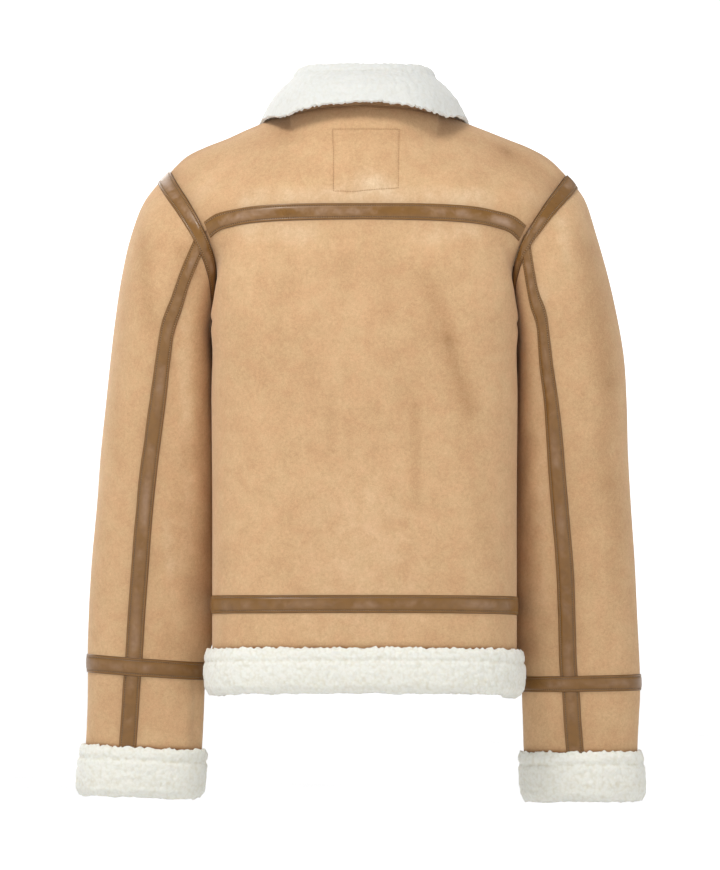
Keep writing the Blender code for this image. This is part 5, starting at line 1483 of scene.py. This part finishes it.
def pile_material(name, light, shadow, size, strength):
    """Off-white curly pile, with painted shade between its curls and in its dimples."""
    material, tree, shader = new_material(name, 0.95)
    place = object_place(tree)
    warped = noise_node(tree, place, 0.35 / size, 2.0, 0.5)
    moved = add_node(tree, "ShaderNodeVectorMath", ((0, place), (1, (0.0, 0.0, 0.0))), operation="ADD")
    offset = math_node(tree, "MULTIPLY", warped, size)
    tree.links.new(offset, moved.inputs[1])
    inputs = (("Vector", moved.outputs[0]), ("Scale", 1.0 / size))
    curls = add_node(tree, "ShaderNodeTexVoronoi", inputs, feature="SMOOTH_F1").outputs["Distance"]
    fibres = noise_node(tree, place, 3.2 / size, 4.0, 0.7, 1.2)
    height = math_node(tree, "SUBTRACT", math_node(tree, "MULTIPLY", fibres, 0.7), curls)
    dimple_shade = attribute(tree, "dimple_shade")
    # Painted shade between the curls and in the dimples
    hollow = math_node(tree, "SUBTRACT", between(tree, height, -0.62, 0.0), dimple_shade)
    colour = mix_colour(tree, between(tree, hollow, 0.0, 1.0), shadow, light)
    tree.links.new(colour, shader.inputs["Base Color"])
    shader.inputs["Sheen Weight"].default_value = 0.30
    shader.inputs["Sheen Roughness"].default_value = 0.5
    shader.inputs["Specular IOR Level"].default_value = 0.1
    shader.inputs["Subsurface Weight"].default_value = 0.25
    shader.inputs["Subsurface Radius"].default_value = (0.006, 0.005, 0.004)
    add_bump(tree, shader, height, strength, 0.0014)
    return material


def leather_material():
    """Smooth brown tape with a soft shine, a painted highlight in patches along its middle that is stronger
    high up, and painted shade at its rims, in the groove of its stitches and in its wrinkles.
    """
    material, tree, shader = new_material("tape_leather", 0.42)
    place = object_place(tree)
    across = attribute(tree, "across")
    cloudy = noise_node(tree, place, 30.0, 4.0, 0.6, 0.4)
    wrinkled = noise_node(tree, place, 120.0, 3.0, 0.6, 0.6)
    grain = noise_node(tree, place, 900.0, 3.0, 0.6)
    rim = between(tree, across, 0.91, 0.99)
    from_stitches = math_node(tree, "ABSOLUTE", math_node(tree, "SUBTRACT", across, STITCH_PLACE), 0.0)
    groove = between(tree, from_stitches, 0.02, 0.08, 1.0, 0.0)
    middle = between(tree, across, 0.15, 0.7, 1.0, 0.0)
    # Painted highlight in patches along the tape's middle, stronger high up where the light falls from above
    painted_highlight = math_node(tree, "MULTIPLY", between(tree, cloudy, 0.45, 0.72), middle)
    # Painted shade at the rims, in the stitch groove and in the wrinkles
    shade = total_of(tree, (rim, 0.85), (groove, 0.75), (between(tree, wrinkled, 0.4, 0.75), 0.26))
    level = add_node(tree, "ShaderNodeSeparateXYZ", ((0, place),)).outputs[2]
    painted_highlight_high_up = math_node(tree, "MULTIPLY", painted_highlight, between(tree, level, -0.20, -0.10, 0.50, 1.0))
    brown = mix_colour(tree, painted_highlight_high_up, LEATHER_COLOUR, LEATHER_PAINTED_HIGHLIGHT)
    colour = mix_colour(tree, between(tree, shade, 0.0, 1.0), brown, LEATHER_PAINTED_SHADE)
    tree.links.new(colour, shader.inputs["Base Color"])
    tree.links.new(between(tree, cloudy, 0.3, 0.7, 0.27, 0.44), shader.inputs["Roughness"])
    shader.inputs["Specular IOR Level"].default_value = 0.45
    add_bump(tree, shader, total_of(tree, (grain, 0.25), (wrinkled, 1.0)), 0.30, 0.0006)
    return material


def plain_material(name, colour, roughness, metallic=0.0, grain=0.0, size=400.0):
    """One finish with a slight unevenness of colour and surface."""
    material, tree, shader = new_material(name, roughness)
    place = object_place(tree)
    uneven = noise_node(tree, place, size, 3.0, 0.6)
    darker = tuple(value * 0.72 for value in colour)
    mixed = mix_colour(tree, between(tree, uneven, 0.3, 0.7), darker, colour)
    tree.links.new(mixed, shader.inputs["Base Color"])
    shader.inputs["Metallic"].default_value = metallic
    add_bump(tree, shader, uneven, grain, 0.0003)
    return material


def area_light(name, place, target, size, power):
    """A soft square light aimed at a point."""
    data = bpy.data.lights.new(name, "AREA")
    data.shape = "SQUARE"
    data.size = size
    data.energy = power
    item = bpy.data.objects.new(name, data)
    item.location = place
    item.rotation_euler = (Vector(target) - Vector(place)).to_track_quat("-Z", "Y").to_euler()
    bpy.context.scene.collection.objects.link(item)
    return item


def stage_and_camera():
    """Pale round floor that curves up at its far rim, soft lights, and the photograph's camera."""
    white = plain_material("stage_white", STAGE_WHITE, 0.9, 0.0, 0.0, 3.0)
    glow = white.node_tree.nodes["Principled BSDF"]
    glow.inputs["Emission Color"].default_value = (1.0, 1.0, 1.0, 1.0)
    brightness = attribute(white.node_tree, "glow")
    white.node_tree.links.new(brightness, glow.inputs["Emission Strength"])
    bend = np.linspace(0.0, math.pi / 2, 9)
    reach = np.concatenate([STAGE_RINGS, STAGE_REACH - STAGE_BEND * (1.0 - np.sin(bend)), [STAGE_REACH]])
    level = np.concatenate([np.zeros(len(STAGE_RINGS)), STAGE_BEND * (1.0 - np.cos(bend)), [STAGE_WALL]])
    level = np.repeat(level[:, None] + FLOOR_LEVEL, STAGE_SIDES, axis=1)
    turn = np.linspace(0.0, 2.0 * math.pi, STAGE_SIDES, endpoint=False)
    points = np.stack([np.outer(reach, np.cos(turn)), np.outer(reach, np.sin(turn)), level], axis=-1)
    faces = grid_faces(len(reach), STAGE_SIDES, closed_columns=True).tolist()
    faces.append(list(range(STAGE_SIDES))[::-1])
    mesh = bpy.data.meshes.new("stage_floor")
    mesh.from_pydata(points.reshape(-1, 3).tolist(), [], faces)
    mesh.materials.append(white)
    shine = STAGE_GLOW * smooth_step((reach - STAGE_RINGS[0]) / (STAGE_RINGS[-2] - STAGE_RINGS[0]))
    mesh.attributes.new("glow", "FLOAT", "POINT").data.foreach_set("value", np.repeat(shine, STAGE_SIDES))
    mesh.shade_smooth()
    floor = bpy.data.objects.new("stage_floor", mesh)
    bpy.context.scene.collection.objects.link(floor)

    world = bpy.data.worlds.new("soft_world")
    world.use_nodes = True
    background = world.node_tree.nodes["Background"]
    background.inputs["Color"].default_value = (1.0, 1.0, 1.0, 1.0)
    background.inputs["Strength"].default_value = WORLD_STRENGTH
    bpy.context.scene.world = world
    bpy.context.scene.view_settings.view_transform = "Standard"
    for name, place, aim_level, size, power in LIGHTS:
        area_light(name, place, (0.0, 0.0, aim_level), size, power)

    camera = bpy.data.cameras.new("camera")
    camera.sensor_fit = "VERTICAL"
    camera.sensor_height = SENSOR_HEIGHT
    camera.lens = SENSOR_HEIGHT * CAMERA_PLACE[1] / PICTURE_HEIGHT
    camera.clip_end = CAMERA_CLIP
    item = bpy.data.objects.new("camera", camera)
    item.location = CAMERA_PLACE
    item.rotation_euler = (math.radians(90.0), 0.0, math.radians(180.0))
    bpy.context.scene.collection.objects.link(item)
    bpy.context.scene.camera = item


def outline_on(surface, rows, corners, pitch):
    """Points and normals of a surface under a closed outline given as x and z corners, seen from behind."""
    row_places = np.linspace(*rows, LOOKUP_ROWS)
    column_places = np.linspace(HALF_COLUMNS - LOOKUP_REACH, HALF_COLUMNS + LOOKUP_REACH, LOOKUP_COLUMNS)
    points, normals = read(surface, row_places, column_places)
    points = creased(points, normals)
    tree = KDTree(points.shape[0] * points.shape[1])
    for index, point in enumerate(points.reshape(-1, 3)):
        tree.insert((point[0], point[2], 0.0), index)
    tree.balance()
    loop = looped(np.array(corners))
    wanted = at_distances(loop, np.arange(0.0, lengths_along(loop)[-1], pitch))
    flat_points = points.reshape(-1, 3)
    flat_normals = normals.reshape(-1, 3)
    line = []
    directions = []
    for x, z in wanted:
        near = [index for _, index, _ in tree.find_n((x, z, 0.0), LOOKUP_NEAREST)]
        line.append(flat_points[near].mean(axis=0))
        directions.append(flat_normals[near].mean(axis=0))
    return looped(np.array(line)), unit(looped(np.array(directions)))


def neck_stitches(surface, last_row):
    """The line of stitches along the neck seam, across the yoke."""
    reach = NECK_COLUMNS - NECK_STITCH_MARGIN
    columns = np.linspace(HALF_COLUMNS - reach, HALF_COLUMNS + reach, NECK_STITCH_POINTS)
    length = surface["rows"][last_row] - surface["rows"][last_row - 1]
    points, normals = read(surface, [last_row - NECK_STITCH_BELOW / length], columns)
    return points[0] + normals[0] * NECK_STITCH_HEIGHT, normals[0]


def crossing(surface, along, first, last):
    """Height by which a tape rises over the long tape between two columns."""
    knots = surface["columns"]
    at = np.interp(np.asarray(along) + surface["first"], np.arange(len(knots)), knots)
    rise = np.zeros(len(at))
    for period in (-1, 0, 1):
        offset = surface["first"] + period * SLEEVE_COLUMNS
        if offset < 0 or offset + last >= len(knots):
            continue
        low = knots[offset + first]
        high = knots[offset + last]
        outside = np.maximum(np.maximum(low - at, at - high), 0.0)
        rise = np.maximum(rise, 1.0 - smooth_step(outside / CROSSING_RAMP))
    return rise * CROSSING_HEIGHT


def build():
    """Build every piece of the jacket's looks."""
    suede = suede_material("suede_nap_and_painted_shade")
    lining = pile_material("suede_back_pile", SHERPA_COLOUR, SHERPA_SHADOW, 0.0040, 0.6)
    sherpa = pile_material("sherpa_pile", SHERPA_COLOUR, SHERPA_SHADOW, 0.0030, 0.40)
    # Painted shade: the collar's sherpa is a darker copy, against the stronger light there
    shaded_collar_sherpa = pile_material("collar_shaded_pile", COLLAR_SHADED_SHERPA, COLLAR_SHADOW, 0.0030, 0.30)
    leather = leather_material()
    thread = plain_material("thread", THREAD_COLOUR, 0.6, 0.0, 0.3, 1500.0)
    seam_thread = plain_material("suede_thread", SUEDE_THREAD_COLOUR, 0.7, 0.0, 0.3, 1500.0)
    woven = plain_material("zip_weave", (0.10, 0.06, 0.035), 0.8, 0.0, 0.5, 1200.0)
    metal = plain_material("aged_brass", (0.50, 0.38, 0.22), 0.38, 1.0, 0.1, 600.0)

    surfaces = build_surfaces()
    fine = {key: prepared(*values, closed=key[0] == "sleeve") for key, values in surfaces.items()}
    back = fine["back", "both"]
    back["armholes"] = [
        (2 * HALF_COLUMNS, fine["sleeve", "left"], (0, 1)), (0, fine["sleeve", "right"], (0, 1)),
    ]
    for side in ARMHOLES:
        fine["front", side]["armholes"] = [(HALF_COLUMNS, fine["sleeve", side], (SLEEVE_COLUMNS, -1))]

    both = [suede, lining]
    seam = ARMPIT_ROW + YOKE_COLUMN
    last_row = len(back["rows"]) - 1
    last_column = 2 * HALF_COLUMNS
    cloth("back_panel", back, (0, seam), (0, last_column), both, ("first_column", "last_column"), fur_row=1)
    cloth("back_yoke", back, (seam, last_row), (0, last_column), both, ("last_row",), YOKE_STEP)
    patch = outline_on(back, (seam, last_row), PATCH_CORNERS, PATCH_STITCH_PITCH)
    stitches("yoke_stitches", [patch, neck_stitches(back, last_row)], seam_thread)
    yoke_along = places_between(back["columns"], 0, last_column)[1:-1]
    stitched = tape("tape_yoke", back, seam, yoke_along, True, leather)
    for side in ARMHOLES:
        front = fine["front", side]
        rows = len(front["rows"]) - 1
        edges = ("last_column", "last_row")
        cloth(f"front_{side}", front, (0, rows), (0, HALF_COLUMNS), both, edges, fur_row=1)
        sleeve = fine["sleeve", side]
        rows = len(sleeve["rows"]) - 1
        upper = ("top", (YOKE_COLUMN, FRONT_SEAM_COLUMN), "last_column")
        under = ("under", (FRONT_SEAM_COLUMN, SLEEVE_COLUMNS + YOKE_COLUMN), "first_column")
        for half, span, dip in (upper, under):
            name = f"sleeve_{half}_{side}"
            cloth(name, sleeve, (0, rows), span, both, (dip,), fur_row=rows - 1, shades=SLEEVE_NAP_AND_SHADE)
        ring = places_between(sleeve["columns"], 0, SLEEVE_COLUMNS, sleeve["first"])[:-1]
        lift = crossing(sleeve, ring, YOKE_COLUMN - 1, YOKE_COLUMN + 1)
        stitched += tape(f"tape_armhole_{side}", sleeve, 1, ring, True, leather, True, lift * ARMHOLE_LIFT)
        forearm = FOREARM_TAPE_FIRST + 1
        stitched += tape(f"tape_forearm_{side}", sleeve, forearm, ring, True, leather, True, lift)
        along = places_between(sleeve["rows"], 1, rows - 1)
        stitched += tape(f"tape_sleeve_{side}", sleeve, YOKE_COLUMN, along, False, leather)
        points, normals = surfaces["sleeve", side]
        band(f"cuff_fur_{side}", points[-2], points[-1], normals[-1], CUFF_BAND, True, sherpa)

    points, normals = hem_surface(surfaces)
    hem = prepared(points, normals)
    along = places_between(hem["columns"], 0, len(hem["columns"]) - 1)
    stitched += tape("tape_hem", hem, 3, along, True, leather)
    band("hem_fur", points[1], points[0], normals[0], HEM_BAND, False, sherpa)
    collar(surfaces, suede, shaded_collar_sherpa)
    stitches("tape_stitches", stitched, thread)
    zip_teeth(surfaces, metal)
    finishes = {"zip_tape_left": woven, "zip_tape_right": woven, "zip_slider": metal, "zip_pull": metal}
    for node, material in finishes.items():
        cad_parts[node].data.materials.clear()
        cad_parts[node].data.materials.append(material)


build()
stage_and_camera()
